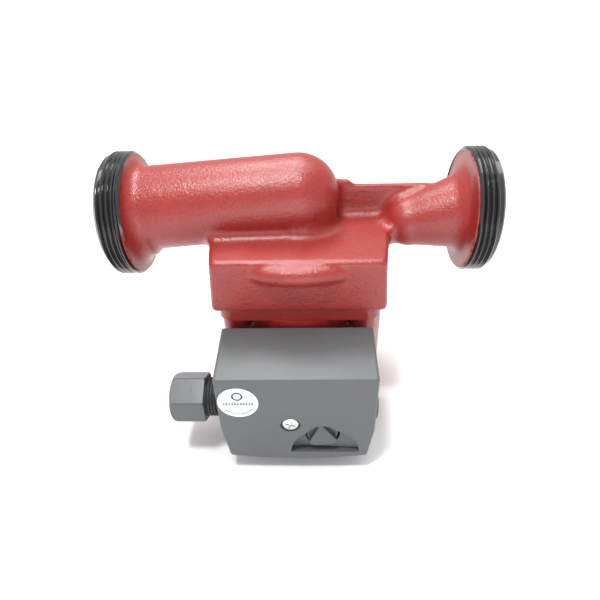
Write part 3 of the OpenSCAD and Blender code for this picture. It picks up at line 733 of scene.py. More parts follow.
BRASS = Finish(
    "turned_brass", "brass", (0.62, 0.42, 0.15), (0.48, 0.3, 0.1), Surface.TURNED, rough=0.26,
    rough_spread=0.2, metallic=1.0, coarse=1.5, fine=0.18, depth=0.012, drift_size=5, drift=0.7,
)
IMPELLER = Finish(
    "glass_filled_moulding", "impeller_plastic", (0.5, 0.42, 0.27), (0.42, 0.34, 0.2),
    Surface.MOULDED, rough=0.48, coarse=0.8, fine=0.2, depth=0.03, drift_size=7,
)
BOX_GREY = Finish(
    "cover_grey_moulding", "box_grey", (0.088, 0.097, 0.099), (0.078, 0.087, 0.089),
    Surface.MOULDED, rough=0.42, rough_spread=0.08, coarse=0.45, fine=0.16, fine_share=0.5,
    depth=0.03, drift_size=18, drift=0.5, hollow_shade_tone=0.9, dust=0.03,
)
KNOB_GREY = Finish(
    "knob_moulding", "knob_grey", (0.085, 0.092, 0.095), (0.07, 0.077, 0.08), Surface.MOULDED,
    rough=0.36, rough_spread=0.08, coarse=0.5, fine=0.18, depth=0.015, drift_size=6, drift=0.5,
)
GLAND = Finish(
    "gland_moulding", "gland_black", (0.03, 0.031, 0.034), (0.04, 0.041, 0.044), Surface.MOULDED,
    rough=0.42, rough_spread=0.1, coarse=0.6, fine=0.2, depth=0.02, drift_size=6, dust=0.04,
)
NUT_GREY = Finish(
    "nut_moulding", "gland_nut_grey", (0.085, 0.094, 0.097), (0.072, 0.08, 0.083),
    Surface.MOULDED, rough=0.36, rough_spread=0.1, coarse=0.6, fine=0.2, depth=0.02, drift_size=8,
)
BASE_BLACK = Finish(
    "base_moulding", "base_black", (0.035, 0.035, 0.039), (0.045, 0.045, 0.05), Surface.MOULDED,
    rough=0.46, coarse=0.5, fine=0.18, depth=0.02, drift_size=12,
)
FOIL = Finish(
    "plate_foil", "plate_foil", (0.7, 0.7, 0.71), (0.6, 0.6, 0.62), Surface.BRUSHED, rough=0.34,
    rough_spread=0.14, metallic=1.0, coarse=3, fine=0.15, depth=0.008, drift_size=15,
)
INSULATOR = Finish(
    "insulating_moulding", "insulator", (0.6, 0.52, 0.32), (0.5, 0.42, 0.25), Surface.MOULDED,
    rough=0.5, coarse=0.6, fine=0.2, depth=0.02, drift_size=6,
)
SWITCH_WHITE = Finish(
    "switch_moulding", "switch_white", (0.68, 0.66, 0.58), (0.6, 0.58, 0.5), Surface.MOULDED,
    rough=0.42, coarse=0.6, fine=0.2, depth=0.015, drift_size=6,
)
CAP_WHITE = Finish(
    "capacitor_film", "capacitor_white", (0.8, 0.8, 0.78), (0.74, 0.74, 0.72), Surface.PLAIN,
    rough=0.32, coat=0.3, coarse=2.0, fine=0.5, depth=0.02, drift_size=10,
)
LABEL_PAPER = Finish(
    "label_paper", "label_paper", (0.46, 0.55, 0.5), (0.42, 0.5, 0.46), Surface.PLAIN, rough=0.4,
    coat=0.3, coarse=1.2, fine=0.3, depth=0.008, drift_size=8, drift=0.5, hollow_shade_tone=0.95,
)
PRINT_GREEN = Finish(
    "lettering_ink", "label_paper", (0.12, 0.2, 0.17), (0.2, 0.28, 0.25), Surface.PLAIN, rough=0.5,
    coarse=0.5, fine=0.2, depth=0.004, drift_size=1.5,
)
PRINT_BLUE = Finish(
    "emblem_ink", "label_paper", (0.07, 0.1, 0.26), (0.12, 0.15, 0.32), Surface.PLAIN, rough=0.5,
    coarse=0.5, fine=0.2, depth=0.004, drift_size=1.5,
)


NODE_FINISH: dict[str, Finish] = {
    "wear_ring": STEEL, "housing_gasket": RUBBER, "bearing_plate": STEEL, "front_bearing": CERAMIC,
    "rotor_can": STEEL, "rear_bearing": CERAMIC, "stator_housing": RED_MOTOR, "stator_core": CORE,
    "stator_windings": COPPER, "housing_screws": ZINC, "nameplate": FOIL, "shaft": CERAMIC,
    "rotor_core": CORE, "rotor_end_rings": ALLOY, "rotor_cladding": STEEL, "thrust_cushion": RUBBER,
    "thrust_bearing": CARBON, "impeller": IMPELLER, "impeller_cap": STEEL, "vent_plug": BRASS,
    "vent_seal": RUBBER, "terminal_base": BASE_BLACK, "terminal_cover": BOX_GREY,
    "cover_gasket": RUBBER, "cover_screw": ZINC, "speed_knob": KNOB_GREY,
    "switch_spindle": SWITCH_WHITE, "speed_switch": SWITCH_WHITE, "run_capacitor": CAP_WHITE,
    "terminal_block": SWITCH_WHITE, "terminal_screws": ZINC, "earth_screw": BRASS,
    "base_screws": ZINC, "gland_body": GLAND, "gland_washer": RUBBER, "gland_seal": RUBBER,
    "gland_clamp_ring": GLAND, "gland_nut": NUT_GREY, "blanking_plug": KNOB_GREY,
    "winding_insulators": INSULATOR, "pump_housing": RED_CAST, "cover_label": CAP_WHITE,
}


def dress_frame() -> None:
    """Gives every node of the frame its finish."""
    for name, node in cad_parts.items():
        node.data.materials.clear()
        node.data.materials.append(NODE_FINISH[name].material())


# ------------------------------------------------------------------ pump head


@dataclass
class PumpCasting:
    """The red casting: block, volute, inlet barrel with its dome, outlet neck, web and port backs."""

    half_x: float = 43.0
    corner_x: float = 38.6
    corner_y: float = 40.2
    corner_r: float = 2.4
    spread: float = 2.2
    joint_z: float = 70.0
    top_z: float = 97.0
    volute_r: float = 45.9
    volute_z: float = 85.8
    port_z: float = 102.0
    port_back_x: float = 78.0
    barrel_r: float = 19.9
    barrel_axis_z: float = 110.7
    barrel_foot_z: float = 104.2
    neck_end: tuple[float, float] = (54.5, 95.9)
    neck_end_r: float = 12.2
    eye_r: float = 14.5
    neck_r: float = 18.4
    voxel: float = 0.85
    fillet: float = 2.6

    def block(self) -> bpy.types.Object:
        """The squarish block of the casing, with bulging sides and round corners."""
        piece = Bench.block(
            "pump_casting", point(-self.corner_x, -self.corner_y, self.joint_z),
            point(self.corner_x, self.corner_y, self.top_z),
        )
        Bench.take(piece)
        bpy.ops.object.mode_set(mode="EDIT")
        bpy.ops.mesh.select_all(action="SELECT")
        bpy.ops.mesh.subdivide(number_cuts=11)
        bpy.ops.object.mode_set(mode="OBJECT")
        for vertex in piece.data.vertices:
            x, y, z = vertex.co / MM
            u, v = x / self.corner_x, y / self.corner_y
            low = max(0.0, self.top_z - z) / (self.top_z - self.joint_z)
            x += (self.half_x - self.corner_x) * u * (1 - v * v) + self.spread * low * u * v * v
            vertex.co = point(x, y, z)
        return Bench.modify(
            piece, "BEVEL", width=self.corner_r * MM * 0.8, segments=6, limit_method="ANGLE",
            angle_limit=math.radians(60),
        )

    def outside(self) -> bpy.types.Object:
        """The overlapping solids of the outside, melted into one skin with cast fillets."""
        axis = (point(-self.port_back_x - 1, 0, self.barrel_foot_z), point(0, 0, self.barrel_axis_z))
        neck = point(self.neck_end[0], 0, self.neck_end[1])
        solids = [
            Bench.rod("barrel", *axis, self.barrel_r + 0.4, self.barrel_r - 0.3),
            Bench.ball("dome", axis[1], self.barrel_r - 0.3),
            Bench.rod("well", point(0, 0, self.top_z - 3), axis[1], self.eye_r + 4),
            Bench.rod("neck_root", point(34, 0, 87), neck, 7, 8.5),
            Bench.ball("neck_shoulder", neck, self.neck_end_r),
            Bench.rod("neck", neck, point(79, 0, 101), self.neck_end_r - 0.2, self.neck_r),
            Bench.block("web", point(12, 5.5, 94), point(64, 9.3, 112.5)),
            Bench.block("web_step", point(12, 5.5, 94), point(25, 9.3, 115)),
        ]
        ends = ((-1, self.barrel_r + 0.5, 7.0, 29.3), (1, self.neck_r + 0.3, 3.0, 29.0))
        for side, pipe_r, flare_r, rim in ends:
            curve = [
                (pipe_r + flare_r * (1 - math.cos(a)), flare_r * (math.sin(a) - 1))
                for a in (math.radians(step) for step in range(90, -1, -10))
            ]
            flare = Bench.turned(
                "flare", [(0, -flare_r), *reversed(curve), (rim, 0), (rim, 1.2), (0, 1.2)][::-1],
                point(side * self.port_back_x, 0, self.port_z), RIGHT * side,
            )
            solids.append(flare)
        piece = Bench.join(self.block(), *solids)
        voxel = self.voxel * 1
        Bench.melt(piece, voxel)
        Bench.swell(piece, self.fillet)
        Bench.melt(piece, voxel)
        Bench.soften(piece, 3)
        Bench.swell(piece, -self.fillet)
        Bench.soften(piece, 1)
        bulge = Bench.turned("volute", self.volute_profile(), point(0, 0, self.volute_z), UP, steps=160)
        Bench.join(piece, bulge)
        Bench.melt(piece, voxel)
        Bench.soften(piece, 2)
        return piece

    def volute_profile(self) -> list[tuple[float, float]]:
        """The round-nosed section of the volute's bulge."""
        thick, nose = 9.4, 4.7
        section = [(0.0, 0.0)]
        for step in range(13):
            a = math.radians(-90 + 15 * step)
            section.append((self.volute_r - nose + nose * math.cos(a), thick / 2 + thick / 2 * math.sin(a)))
        return [*section, (0.0, thick)]

    def hollows(self) -> list[bpy.types.Object]:
        """The machined and cored hollows."""
        inlet = (point(-self.port_back_x - 2, 0, self.barrel_foot_z), point(0, 0, self.barrel_axis_z))
        neck = point(self.neck_end[0], 0, self.neck_end[1])
        return [
            Bench.turned("chamber", [
                (0, -3), (33, -3), (33, 18), (41, 20), (41, 22.4), (0, 22.4),
            ], point(0, 0, self.joint_z), UP),
            Bench.rod("inlet_core", *inlet, 15.9),
            Bench.ball("inlet_end", inlet[1], 15.8),
            Bench.rod("eye", point(0, 0, 91), point(0, 0, self.barrel_axis_z), self.eye_r),
            Bench.rod("inlet_bore", point(-95, 0, self.port_z), point(-75, 0, self.port_z), 16.05),
            Bench.rod("outlet_root", point(34, 0, 87), neck, 4, 5),
            Bench.ball("outlet_shoulder", neck, self.neck_end_r - 4),
            Bench.rod("outlet_core", neck, point(77, 0, 100.8), self.neck_end_r - 4.2, self.neck_r - 4),
            Bench.rod("outlet_bore", point(75.5, 0, self.port_z), point(95, 0, self.port_z), 16.0),
        ]

    def build(self) -> bpy.types.Object:
        """Builds, cuts and places the casting."""
        piece = self.outside()
        face = Bench.block("joint_cut", point(-60, -60, 60), point(60, 60, self.joint_z))
        ends = [
            Bench.block("end_cut", point(side * 92, 0, 102) - point(12.8, 40, 40),
                        point(side * 92, 0, 102) + point(12.8, 40, 40))
            for side in (-1, 1)
        ]
        Bench.combine(piece, Cut.REMOVE, face, *ends, *self.hollows())
        return Bench.place(piece, Body.PUMP, RED_CAST, "pump_housing", angle=50)


def wound_thread(
    root: float, crest: float, pitch: float, turns: float, foot: Vector, along: Vector
) -> bpy.types.Object:
    """A ridge wound about an axis, fading out at both ends.

    Args:
        root: Radius at the bottom of the thread, in millimetres.
        crest: Radius over the thread.
        pitch: Distance between ridges.
        turns: Number of turns.
        foot: Where the first ridge starts on the axis, in metres.
        along: Direction of the axis.

    Returns:
        The closed ridge.
    """
    half = pitch / 2 * 0.95
    outline = [(root - 0.4, -half), (root, -half), (crest - 0.12, -half * 0.28), (crest, -half * 0.12),
               (crest, half * 0.12), (crest - 0.12, half * 0.28), (root, half), (root - 0.4, half)]
    thread = Bench.outline(outline, closed=True)
    bpy.ops.object.mode_set(mode="OBJECT")
    steps = int((96 if crest > 15 else 48) * turns)
    Bench.modify(
        thread, "SCREW", axis="Z", angle=math.tau * turns, screw_offset=pitch * turns * MM,
        iterations=1, steps=steps, render_steps=steps, use_merge_vertices=False,
    )
    last = len(thread.data.vertices) // len(outline) - 1
    for vertex in thread.data.vertices:
        step = vertex.index // len(outline)
        fade = min(1.0, min(step, last - step) / 10)
        radius = Vector(vertex.co.xy).length
        if radius > root * MM:
            keep = (root * MM + (radius - root * MM) * fade - 0.1 * MM * (1 - fade)) / radius
            vertex.co.x *= keep
            vertex.co.y *= keep
    Bench.take(thread)
    bpy.ops.object.mode_set(mode="EDIT")
    bpy.ops.mesh.select_all(action="SELECT")
    bpy.ops.mesh.fill_holes(sides=0)
    bpy.ops.mesh.normals_make_consistent(inside=False)
    bpy.ops.object.mode_set(mode="OBJECT")
    thread.rotation_euler = along.to_track_quat("Z", "Y").to_euler()
    thread.location = foot
    return Bench.settle("thread")


@dataclass
class PortThread:
    """The black threaded ring of a port."""

    side: int
    name: str
    radius: float
    pitch: float = 2.309
    turns: float = 4.2
    face_x: float = 90.0
    back_x: float = 79.2
    bore_r: float = 16.0

    def build(self) -> bpy.types.Object:
        """Turns the ring and winds the thread on it."""
        root = self.radius - 0.640327 * self.pitch
        length = self.face_x - self.back_x
        out = RIGHT * self.side
        core = Bench.turned(self.name, [
            (self.bore_r, 0), (self.radius - 0.5, 0), (self.radius, 0.4), (self.radius, 0.9), (root, 1.7),
            (root, length - 0.9), (root - 0.9, length), (self.bore_r + 1, length),
            (self.bore_r, length - 1),
        ], point(self.side * self.back_x, 0, 102), out, steps=128)
        start = self.face_x - 0.5 - self.pitch * (self.turns + 0.5)
        Bench.combine(core, Cut.ADD, wound_thread(
            root, self.radius, self.pitch, self.turns, point(self.side * start, 0, 102), out
        ))
        return Bench.place(core, Body.PUMP, BLACK_THREAD, angle=28)


# ------------------------------------------------------------------ motor


@dataclass
class MotorHousing:
    """The red motor housing: the plain housing with its edges rounded."""

    edge_r: float = 0.5

    def build(self) -> bpy.types.Object:
        """Rounds a copy of the plain housing."""
        piece = Bench.merged("stator_housing", "motor_housing")
        Bench.edges(piece, self.edge_r, 3, 35)
        return Bench.place(piece, Body.PUMP, RED_MOTOR, "stator_housing", angle=40, level=True)


# ------------------------------------------------------------------ terminal box


@dataclass
class TerminalCover:
    """The grey cover: tapered walls, sloping front strip, bellied floor, scoop and screw recess."""

    front: float = 75.0
    rear: float = 41.5
    low_z: float = 7.5
    high_z: float = 61.0
    half: float = 35.2
    half_low: float = 32.6
    taper_z: float = 29.0
    shift: float = -0.9
    belly: float = 2.8
    flare: float = 0.7
    rise: float = 1.5
    crease: float = 12.5
    wall: float = 2.3
    edge_r: float = 1.3
    scoop_x: float = 11.7
    scoop_z: float = 13.5
    scoop_r: float = 15.95
    knob_x: float = 10.4
    knob_z: float = 23.5
    knob_hole_r: float = 8.25
    screw_x: float = -4.1
    screw_z: float = 32.3
    entry_y: float = -57.8

    def shell(self, name: str, inset: float, front: float, rear: float) -> bpy.types.Object:
        """The cover's solid outline, moved in by an inset.

        Args:
            name: Name of the solid.
            inset: How far each wall is moved in.
            front: Distance of its front from the shaft.
            rear: Distance of its rear from the shaft.

        Returns:
            The solid.
        """
        half, low = self.half - inset, self.half_low - inset
        bottom, top = self.low_z + self.belly + inset, self.high_z - inset
        piece = Bench.block(
            name, point(self.shift - half, -front, bottom), point(self.shift + half, -rear, top)
        )
        crease_y = -self.front + self.crease
        Bench.slice(piece, point(0, 0, self.taper_z), UP)
        for share in (-0.6, 0, 0.6):
            Bench.slice(piece, point(self.shift + share * low, 0, 0), RIGHT)
        if front > -crease_y:
            Bench.slice(piece, point(0, crease_y, 0), FRONT)
        Bench.mesh_edit(
            piece, lambda p: p.z < bottom + 0.1, scale=(low / half, 1, 1),
            centre=point(self.shift, 0, bottom),
        )
        for share, drop in ((-0.6, 0.7), (0, 1.0), (0.6, 0.7)):
            place = self.shift + share * low * low / half
            Bench.mesh_edit(
                piece, lambda p, x=place: p.z < bottom + 0.1 and abs(p.x - x) < 2.5,
                value=point(0, 0, -drop * self.belly),
            )
        Bench.mesh_edit(
            piece, lambda p: p.z > top - 0.1 and p.y > crease_y - 0.1, value=point(0, 0, self.rise)
        )
        for side in (-1, 1):
            Bench.mesh_edit(
                piece, lambda p, s=side: s * (p.x - self.shift) > half - 4 and p.y > -rear - 0.1,
                value=point(side * self.flare, 0, 0),
            )
        return piece

    def scoop(self, name: str, grow: float, depth: float, tail: float, ahead: float) -> bpy.types.Object:
        """The half-round scoop round the knob.

        Args:
            name: Name of the solid.
            grow: How much larger it is than the opening.
            depth: Depth behind the cover's front.
            tail: How much shallower it is at its right end.
            ahead: How far it runs past the cover's front.

        Returns:
            The solid.
        """
        x, z, r = self.scoop_x, self.scoop_z, self.scoop_r + grow
        front, back = -self.front - ahead, -self.front + depth
        piece = Bench.rod(name, point(x, back, z), point(x, front, z), r, sides=128)
        Bench.trim(piece, point(0, 0, z - grow), -UP)
        for vertex in piece.data.vertices:
            if vertex.co.y / MM > back - 0.1 and vertex.co.x / MM > x:
                vertex.co.y -= tail * MM * min(1.0, (vertex.co.x / MM - x) / r)
        return piece

    def build(self) -> bpy.types.Object:
        """Cuts the cover out and places it."""

        def knob(y: float) -> Vector:
            """A point on the knob's axis."""
            return point(self.knob_x, y, self.knob_z)

        def screw(y: float) -> Vector:
            """A point on the cover screw's axis."""
            return point(self.screw_x, y, self.screw_z)

        piece = self.shell("terminal_cover_shell", 0, self.front, self.rear)
        Bench.edges(piece, self.edge_r, 4, 25)
        lip = self.front - 5.8
        Bench.combine(
            piece, Cut.REMOVE,
            self.shell("room", 5.9, self.front - self.wall, self.rear - 3),
            self.shell("lip_room", self.wall, lip, self.rear - 4),
        )
        Bench.combine(piece, Cut.ADD, self.scoop("scoop_wall", 1.8, 5.4, 0, -1.0))
        Bench.combine(
            piece, Cut.REMOVE, self.scoop("scoop_room", 0, 3.6, 1.6, 1.0),
            Bench.block("scoop_slot", point(0, -75.5, self.scoop_z), point(27.2, -70.4, 14.3)),
            Bench.rod("knob_hole", knob(-62), knob(-76), self.knob_hole_r),
            Bench.rod("screw_recess", screw(-73.4), screw(-76), 4.1, 4.9),
            Bench.rod("screw_hole", screw(-70), screw(-76), 2.1),
            Bench.rod("motor_room", point(0, 0, -1), point(0, 0, 58.7), 44.3),
            Bench.rod("neck_room", point(0, 0, -1), point(0, 0, 70), 40.6),
        )
        for side, z, r in ((-1, 33.0, 10.6), (1, 30.0, 8.9)):
            inner, outer = side * 28.5, side * 40
            Bench.combine(
                piece, Cut.REMOVE,
                Bench.rod("entry", point(inner, self.entry_y, z), point(outer, self.entry_y, z), r),
                Bench.block("entry_slot", point(min(inner, outer), self.entry_y, z - r),
                            point(max(inner, outer), -30, z + r)),
            )
        return Bench.place(piece, Body.PUMP, BOX_GREY, "terminal_cover", angle=32, level=True)


@dataclass
class SpeedKnob:
    """The speed knob: a sunk disc with a wedge-shaped grip that ends in a round lip."""

    x: float = 10.4
    z: float = 23.5
    radius: float = 7.3
    back: float = 66.5
    face: float = 72.3
    top: float = 74.4

    def build(self) -> bpy.types.Object:
        """Turns the disc, shapes the grip and joins them."""
        r = self.radius
        disc = Bench.turned("knob", [
            (3.0, 0), (r, 0), (r, self.face - self.back - 0.4), (r - 0.4, self.face - self.back),
            (r - 1.1, self.face - self.back), (r - 1.4, self.face - self.back - 0.5),
            (0, self.face - self.back - 0.5), (0, 5.0), (3.0, 5.0),
        ], point(self.x, -self.back, self.z), FRONT)
        grip = Bench.rod("grip", point(0, -self.back - 4, 0), point(0, -self.top, 0), r, sides=48)
        for at, normal in (
            (point(0.7, 0, r - 0.6), Vector((0.86, 0, 0.5))),
            (point(-0.7, 0, r - 0.6), Vector((-0.86, 0, 0.5))),
            (point(0, 0, -r * 0.8), Vector((0, 0, -1))),
        ):
            Bench.trim(grip, at, normal)
        Bench.mesh_edit(grip, lambda p: p.y < -self.top + 0.1 and p.z > 2, value=point(0, 1.0, 0))
        Bench.edges(grip, 0.45, 3, 40)
        Bench.take(grip)
        grip.rotation_euler = (0, math.radians(-6), 0)
        grip.location = point(self.x, 0, self.z)
        grip = Bench.settle("grip")
        Bench.combine(disc, Cut.ADD, grip)
        return Bench.place(disc, Body.SELECTOR, KNOB_GREY, "speed_knob", angle=30, level=True)


@dataclass
class CoverScrew:
    """The bright cross-slotted screw that holds the cover."""

    x: float = -4.1
    z: float = 32.3
    head: float = 73.6
    radius: float = 3.75

    def build(self) -> bpy.types.Object:
        """Turns the screw and sinks the cross in its head."""
        shank = self.head - 55
        r = self.radius
        piece = Bench.turned("cover_screw_bright", [
            (0, 0), (1.3, 0), (1.65, 0.5), (1.65, shank), (r - 0.15, shank), (r, shank + 0.25),
            (r - 0.1, shank + 0.8), (r - 0.9, shank + 1.15), (0, shank + 1.3),
        ], point(self.x, -55, self.z), FRONT, steps=64)
        for angle in (20, 110):
            Bench.clear()
            turn = math.radians(angle)
            bpy.ops.mesh.primitive_cube_add(
                size=1, location=point(self.x, -self.head - 1.2, self.z), rotation=(0, turn, 0),
                scale=point(4.6, 1.8, 0.85),
            )
            Bench.combine(piece, Cut.REMOVE, Bench.settle("cross"))
        Bench.edges(piece, 0.1, 2, 40)
        return Bench.place(piece, Body.PUMP, ZINC, "cover_screw", angle=30, level=True)


@dataclass
class Print:
    """Small printed marks laid flat on a face."""

    name: str
    finish: Finish
    high: float

    def build(self, marks: Sequence[tuple[Vector, float, float, float]], normal: Vector) -> bpy.types.Object:
        """Lays marks down.

        Args:
            marks: Centre in metres, width and height in millimetres, and turn in degrees.
            normal: Way that the face looks.

        Returns:
            The print, one piece.
        """
        base = normal.to_track_quat("Z", "Y")
        made = []
        for index, (centre, width, height, angle) in enumerate(marks):
            Bench.clear()
            spin = Matrix.Rotation(math.radians(angle), 3, normal) @ base.to_matrix()
            bpy.ops.mesh.primitive_cube_add(
                size=1, location=centre, rotation=spin.to_euler(), scale=point(width, height, self.high)
            )
            made.append(Bench.settle(f"{self.name}_{index}"))
        piece = Bench.join(*made)
        piece.name = piece.data.name = self.name
        return Bench.place(piece, Body.PUMP, self.finish)


@dataclass
class RoundLabel:
    """The round pale label with an arc of small print and a ring emblem."""

    x: float = -26.4
    z: float = 47.5
    radius: float = 8.95

    def build(self) -> None:
        """Turns the label and lays its print."""
        disc = Bench.turned("label", [
            (0, 0), (self.radius - 0.05, 0), (self.radius, 0.1), (self.radius - 0.1, 0.24), (0, 0.24),
        ], point(self.x, -75, self.z), FRONT)
        Bench.place(disc, Body.PUMP, LABEL_PAPER, "cover_label", angle=30)
        face = -75.25
        row = [(point(self.x - 6.2 + 1.25 * i, face, self.z - 0.6), 0.85 + 0.15 * (i % 3 == 1), 1.5, 0.0)
               for i in range(11)]
        arc = []
        for i in range(15):
            a = math.radians(214 + 8.0 * i)
            arc.append((point(self.x + 6.9 * math.cos(a), face, self.z + 6.9 * math.sin(a)), 0.55, 0.9,
                        -(math.degrees(a) + 90)))
        Print("label_lettering", PRINT_GREEN, 0.04).build(row + arc, FRONT)
        ring = []
        for i in range(26):
            a = math.tau * i / 26
            ring.append((point(self.x + 2.1 * math.cos(a), face, self.z + 4.1 + 2.1 * math.sin(a)), 0.66, 0.9,
                         -(math.degrees(a) + 90)))
        Print("label_emblem", PRINT_BLUE, 0.04).build(ring, FRONT)


@dataclass
class CableGland:
    """The cable gland: a threaded body in the box and the loose hexagonal nut on it."""

    y: float = -57.8
    z: float = 33.0
    body_x: float = 23.8
    mouth_x: float = 50.6
    crest: float = 9.27
    pitch: float = 1.411
    nut_x0: float = 44.1
    nut_x1: float = 60.6
    nut_floor: float = 56.1
    corner: float = 12.12

    def body(self) -> bpy.types.Object:
        """Turns the body and winds its thread."""
        root = self.crest - 0.8
        length = self.mouth_x - self.body_x
        foot = point(-self.body_x, self.y, self.z)
        piece = Bench.turned("gland_thread_body", [
            (5.5, 0), (10.0, 0), (10.1, 0.2), (10.1, 2.4), (10.0, 2.5), (root, 2.5),
            (root, length - 0.5), (root - 0.4, length), (7.9, length), (7.9, length - 8),
            (5.5, length - 8),
        ], foot, LEFT, steps=72)
        start = foot + LEFT * 4.4 * MM
        Bench.combine(piece, Cut.ADD, wound_thread(root, self.crest, self.pitch, 14.8, start, LEFT))
        return Bench.place(piece, Body.PUMP, GLAND, "gland_body", angle=28)

    def nut(self) -> bpy.types.Object:
        """Cuts the nut from a hexagon, rounds its ends and bores it."""
        length = self.nut_x1 - self.nut_x0
        foot = point(-self.nut_x0, self.y, self.z)
        axis_end = foot + LEFT * length * MM
        Bench.clear()
        bpy.ops.mesh.primitive_cylinder_add(
            vertices=6, radius=self.corner * MM, depth=length * MM, location=(foot + axis_end) / 2,
            rotation=(0, math.radians(-90), 0),
        )
        piece = Bench.settle("gland_nut_hexagon")
        if not any(vertex.co.z / MM > self.z + self.corner - 0.05 for vertex in piece.data.vertices):
            Bench.take(piece)
            bpy.ops.object.mode_set(mode="EDIT")
            bpy.ops.mesh.select_all(action="SELECT")
            bpy.ops.transform.rotate(value=math.radians(30), orient_axis="X", center_override=foot)
            bpy.ops.object.mode_set(mode="OBJECT")
        Bench.edges(piece, 0.55, 3, 40)
        envelope = Bench.turned("envelope", [
            (0, -0.01), (self.corner - 0.9, -0.01), (self.corner + 0.05, 1.0),
            (self.corner + 0.05, length - 3.2),
            (self.corner - 0.25, length - 2.1), (self.corner - 0.9, length - 1.0),
            (self.corner - 2.1, length - 0.2), (self.corner - 3.0, length), (0, length + 0.001),
        ], foot, LEFT, steps=144)
        Bench.combine(piece, Cut.KEEP, envelope)
        bar = Bench.block("mark", foot + point(-6.4, -10.66, -2.6), foot + point(-6.0, -10.2, 2.6))
        Bench.take(bar)
        bpy.ops.object.mode_set(mode="EDIT")
        bpy.ops.mesh.select_all(action="SELECT")
        bpy.ops.transform.rotate(value=math.radians(60), orient_axis="X", center_override=foot)
        bpy.ops.object.mode_set(mode="OBJECT")
        Bench.combine(piece, Cut.ADD, bar)
        bore = foot + LEFT * (self.nut_floor - self.nut_x0) * MM
        Bench.combine(
            piece, Cut.REMOVE, Bench.rod("bore", foot + RIGHT * MM, bore, 9.35),
            Bench.rod("cable_hole", bore + RIGHT * MM, axis_end + LEFT * MM, 5.5, 5.9),
        )
        return Bench.place(piece, Body.NUT, NUT_GREY, "gland_nut", angle=28, level=True)

    def build(self) -> None:
        """Builds both pieces."""
        self.body()
        self.nut()


@dataclass
class SoftEdged:
    """A plain solid that is right as it is, but for its edges."""

    node: str
    body: Body
    finish: Finish
    width: float
    angle: float = 35.0

    def build(self) -> bpy.types.Object:
        """Rounds the edges of a copy of the plain solid."""
        piece = Bench.merged(self.node, self.node + "_finished")
        Bench.edges(piece, self.width, 3, self.angle)
        return Bench.place(piece, self.body, self.finish, self.node, angle=30, level=True)


# ------------------------------------------------------------------ studio


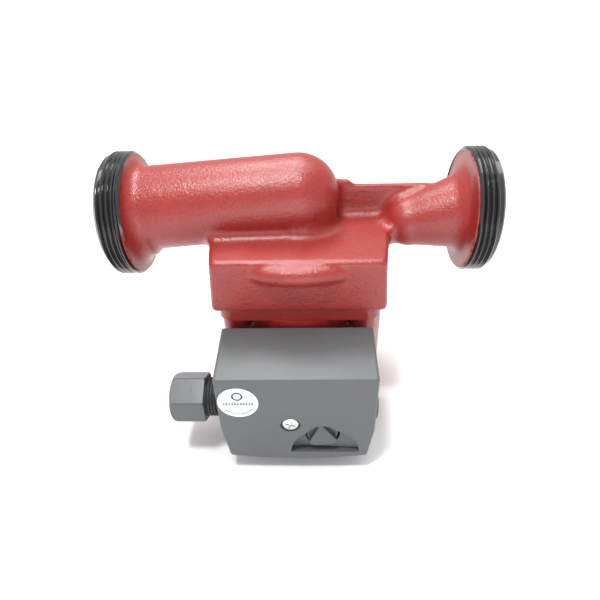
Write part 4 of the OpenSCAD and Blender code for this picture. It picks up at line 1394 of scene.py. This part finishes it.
@dataclass
class Studio:
    """Floor, light and camera."""

    lens: float = 28.43
    eye: tuple[float, float, float] = (7.01, -214.44, 203.79)
    pitch: float = 36.0
    yaw: float = -2.078
    roll: float = -1.699
    room: float = 0.72

    def floor(self) -> None:
        """A wide pale table."""
        Bench.clear()
        bpy.ops.mesh.primitive_plane_add(size=160)
        piece = Bench.settle("floor")
        material = bpy.data.materials.new("pale_table")
        material.use_nodes = True
        g = Graph(material.node_tree)
        shader = material.node_tree.nodes["Principled BSDF"]
        place = g.add("TexCoord").outputs["Object"]
        tone = g.ramp(g.noise(place, 2.0), 0.3, 0.7, 0.9, 0.93)
        material.node_tree.links.new(
            g.add("CombineColor", {0: tone, 1: tone, 2: tone}).outputs[0], shader.inputs["Base Color"]
        )
        shader.inputs["Roughness"].default_value = 0.6
        piece.data.materials.append(material)

    def lamp(self, name: str, at: tuple[float, float, float], size: float, power: float) -> None:
        """A square soft light that looks at the pump."""
        light = bpy.data.lights.new(name, "AREA")
        light.shape, light.size, light.energy = "SQUARE", size, power
        holder = bpy.data.objects.new(name, light)
        holder.location = at
        holder.rotation_euler = (Vector(at) - point(0, 0, 60)).to_track_quat("Z", "Y").to_euler()
        holder.visible_camera = False
        bpy.context.scene.collection.objects.link(holder)

    def sun(self, name: str, towards: tuple[float, float, float], spread: float, power: float) -> None:
        """An even light from one side of the sky, spread over an angle in degrees."""
        light = bpy.data.lights.new(name, "SUN")
        light.angle, light.energy = math.radians(spread), power
        holder = bpy.data.objects.new(name, light)
        holder.rotation_euler = Vector(towards).to_track_quat("Z", "Y").to_euler()
        bpy.context.scene.collection.objects.link(holder)

    def camera(self) -> None:
        """The camera, held a little off level."""
        pitch, yaw, roll = (math.radians(a) for a in (self.pitch, self.yaw, self.roll))
        ahead = Vector((math.sin(yaw) * math.cos(pitch), math.cos(yaw) * math.cos(pitch), -math.sin(pitch)))
        level = Vector((math.cos(yaw), -math.sin(yaw), 0))
        above = level.cross(ahead)
        right = math.cos(roll) * level + math.sin(roll) * above
        top = -math.sin(roll) * level + math.cos(roll) * above
        data = bpy.data.cameras.new("camera")
        data.lens, data.sensor_width = self.lens, 36.0
        data.clip_start, data.clip_end = 0.01, 300.0
        holder = bpy.data.objects.new("camera", data)
        turn = Matrix((right, top, -ahead)).transposed()
        holder.matrix_world = Matrix.Translation(point(*self.eye)) @ turn.to_4x4()
        bpy.context.scene.collection.objects.link(holder)
        bpy.context.scene.camera = holder

    def build(self) -> None:
        """Sets the table, the lights and the camera."""
        self.floor()
        self.camera()
        self.sun("sky", (0.05, 0.3, 0.9), 45, 1.7)
        for name, at, size, power in (
            ("key", (-0.1, 0.35, 0.75), 0.2, 2.0),
            ("glint", (-0.1, -0.2, 0.7), 0.09, 3.2),
            ("table_glow", (0.03, -0.5, 0.03), 0.3, 0.8),
        ):
            self.lamp(name, at, size, power)
        world = bpy.data.worlds.new("soft_room")
        world.use_nodes = True
        background = world.node_tree.nodes["Background"]
        background.inputs["Color"].default_value = (1, 1, 1, 1)
        background.inputs["Strength"].default_value = self.room
        bpy.context.scene.world = world
        bpy.context.scene.view_settings.view_transform = "Standard"


def main() -> None:
    """Builds the studio, the pieces and their finishes."""
    Studio().build()
    dress_frame()
    PumpCasting().build()
    PortThread(-1, "inlet_thread", 29.75).build()
    PortThread(1, "outlet_thread", 29.4).build()
    MotorHousing().build()
    TerminalCover().build()
    SpeedKnob().build()
    CoverScrew().build()
    RoundLabel().build()
    CableGland().build()
    for soft in (
        SoftEdged("blanking_plug", Body.PUMP, KNOB_GREY, 0.5),
        SoftEdged("vent_plug", Body.VENT, BRASS, 0.3),
        SoftEdged("housing_screws", Body.PUMP, ZINC, 0.25),
        SoftEdged("gland_clamp_ring", Body.CLAMP, GLAND, 0.25),
    ):
        soft.build()
    Bench.clear()


if __name__ == "__main__":
    main()
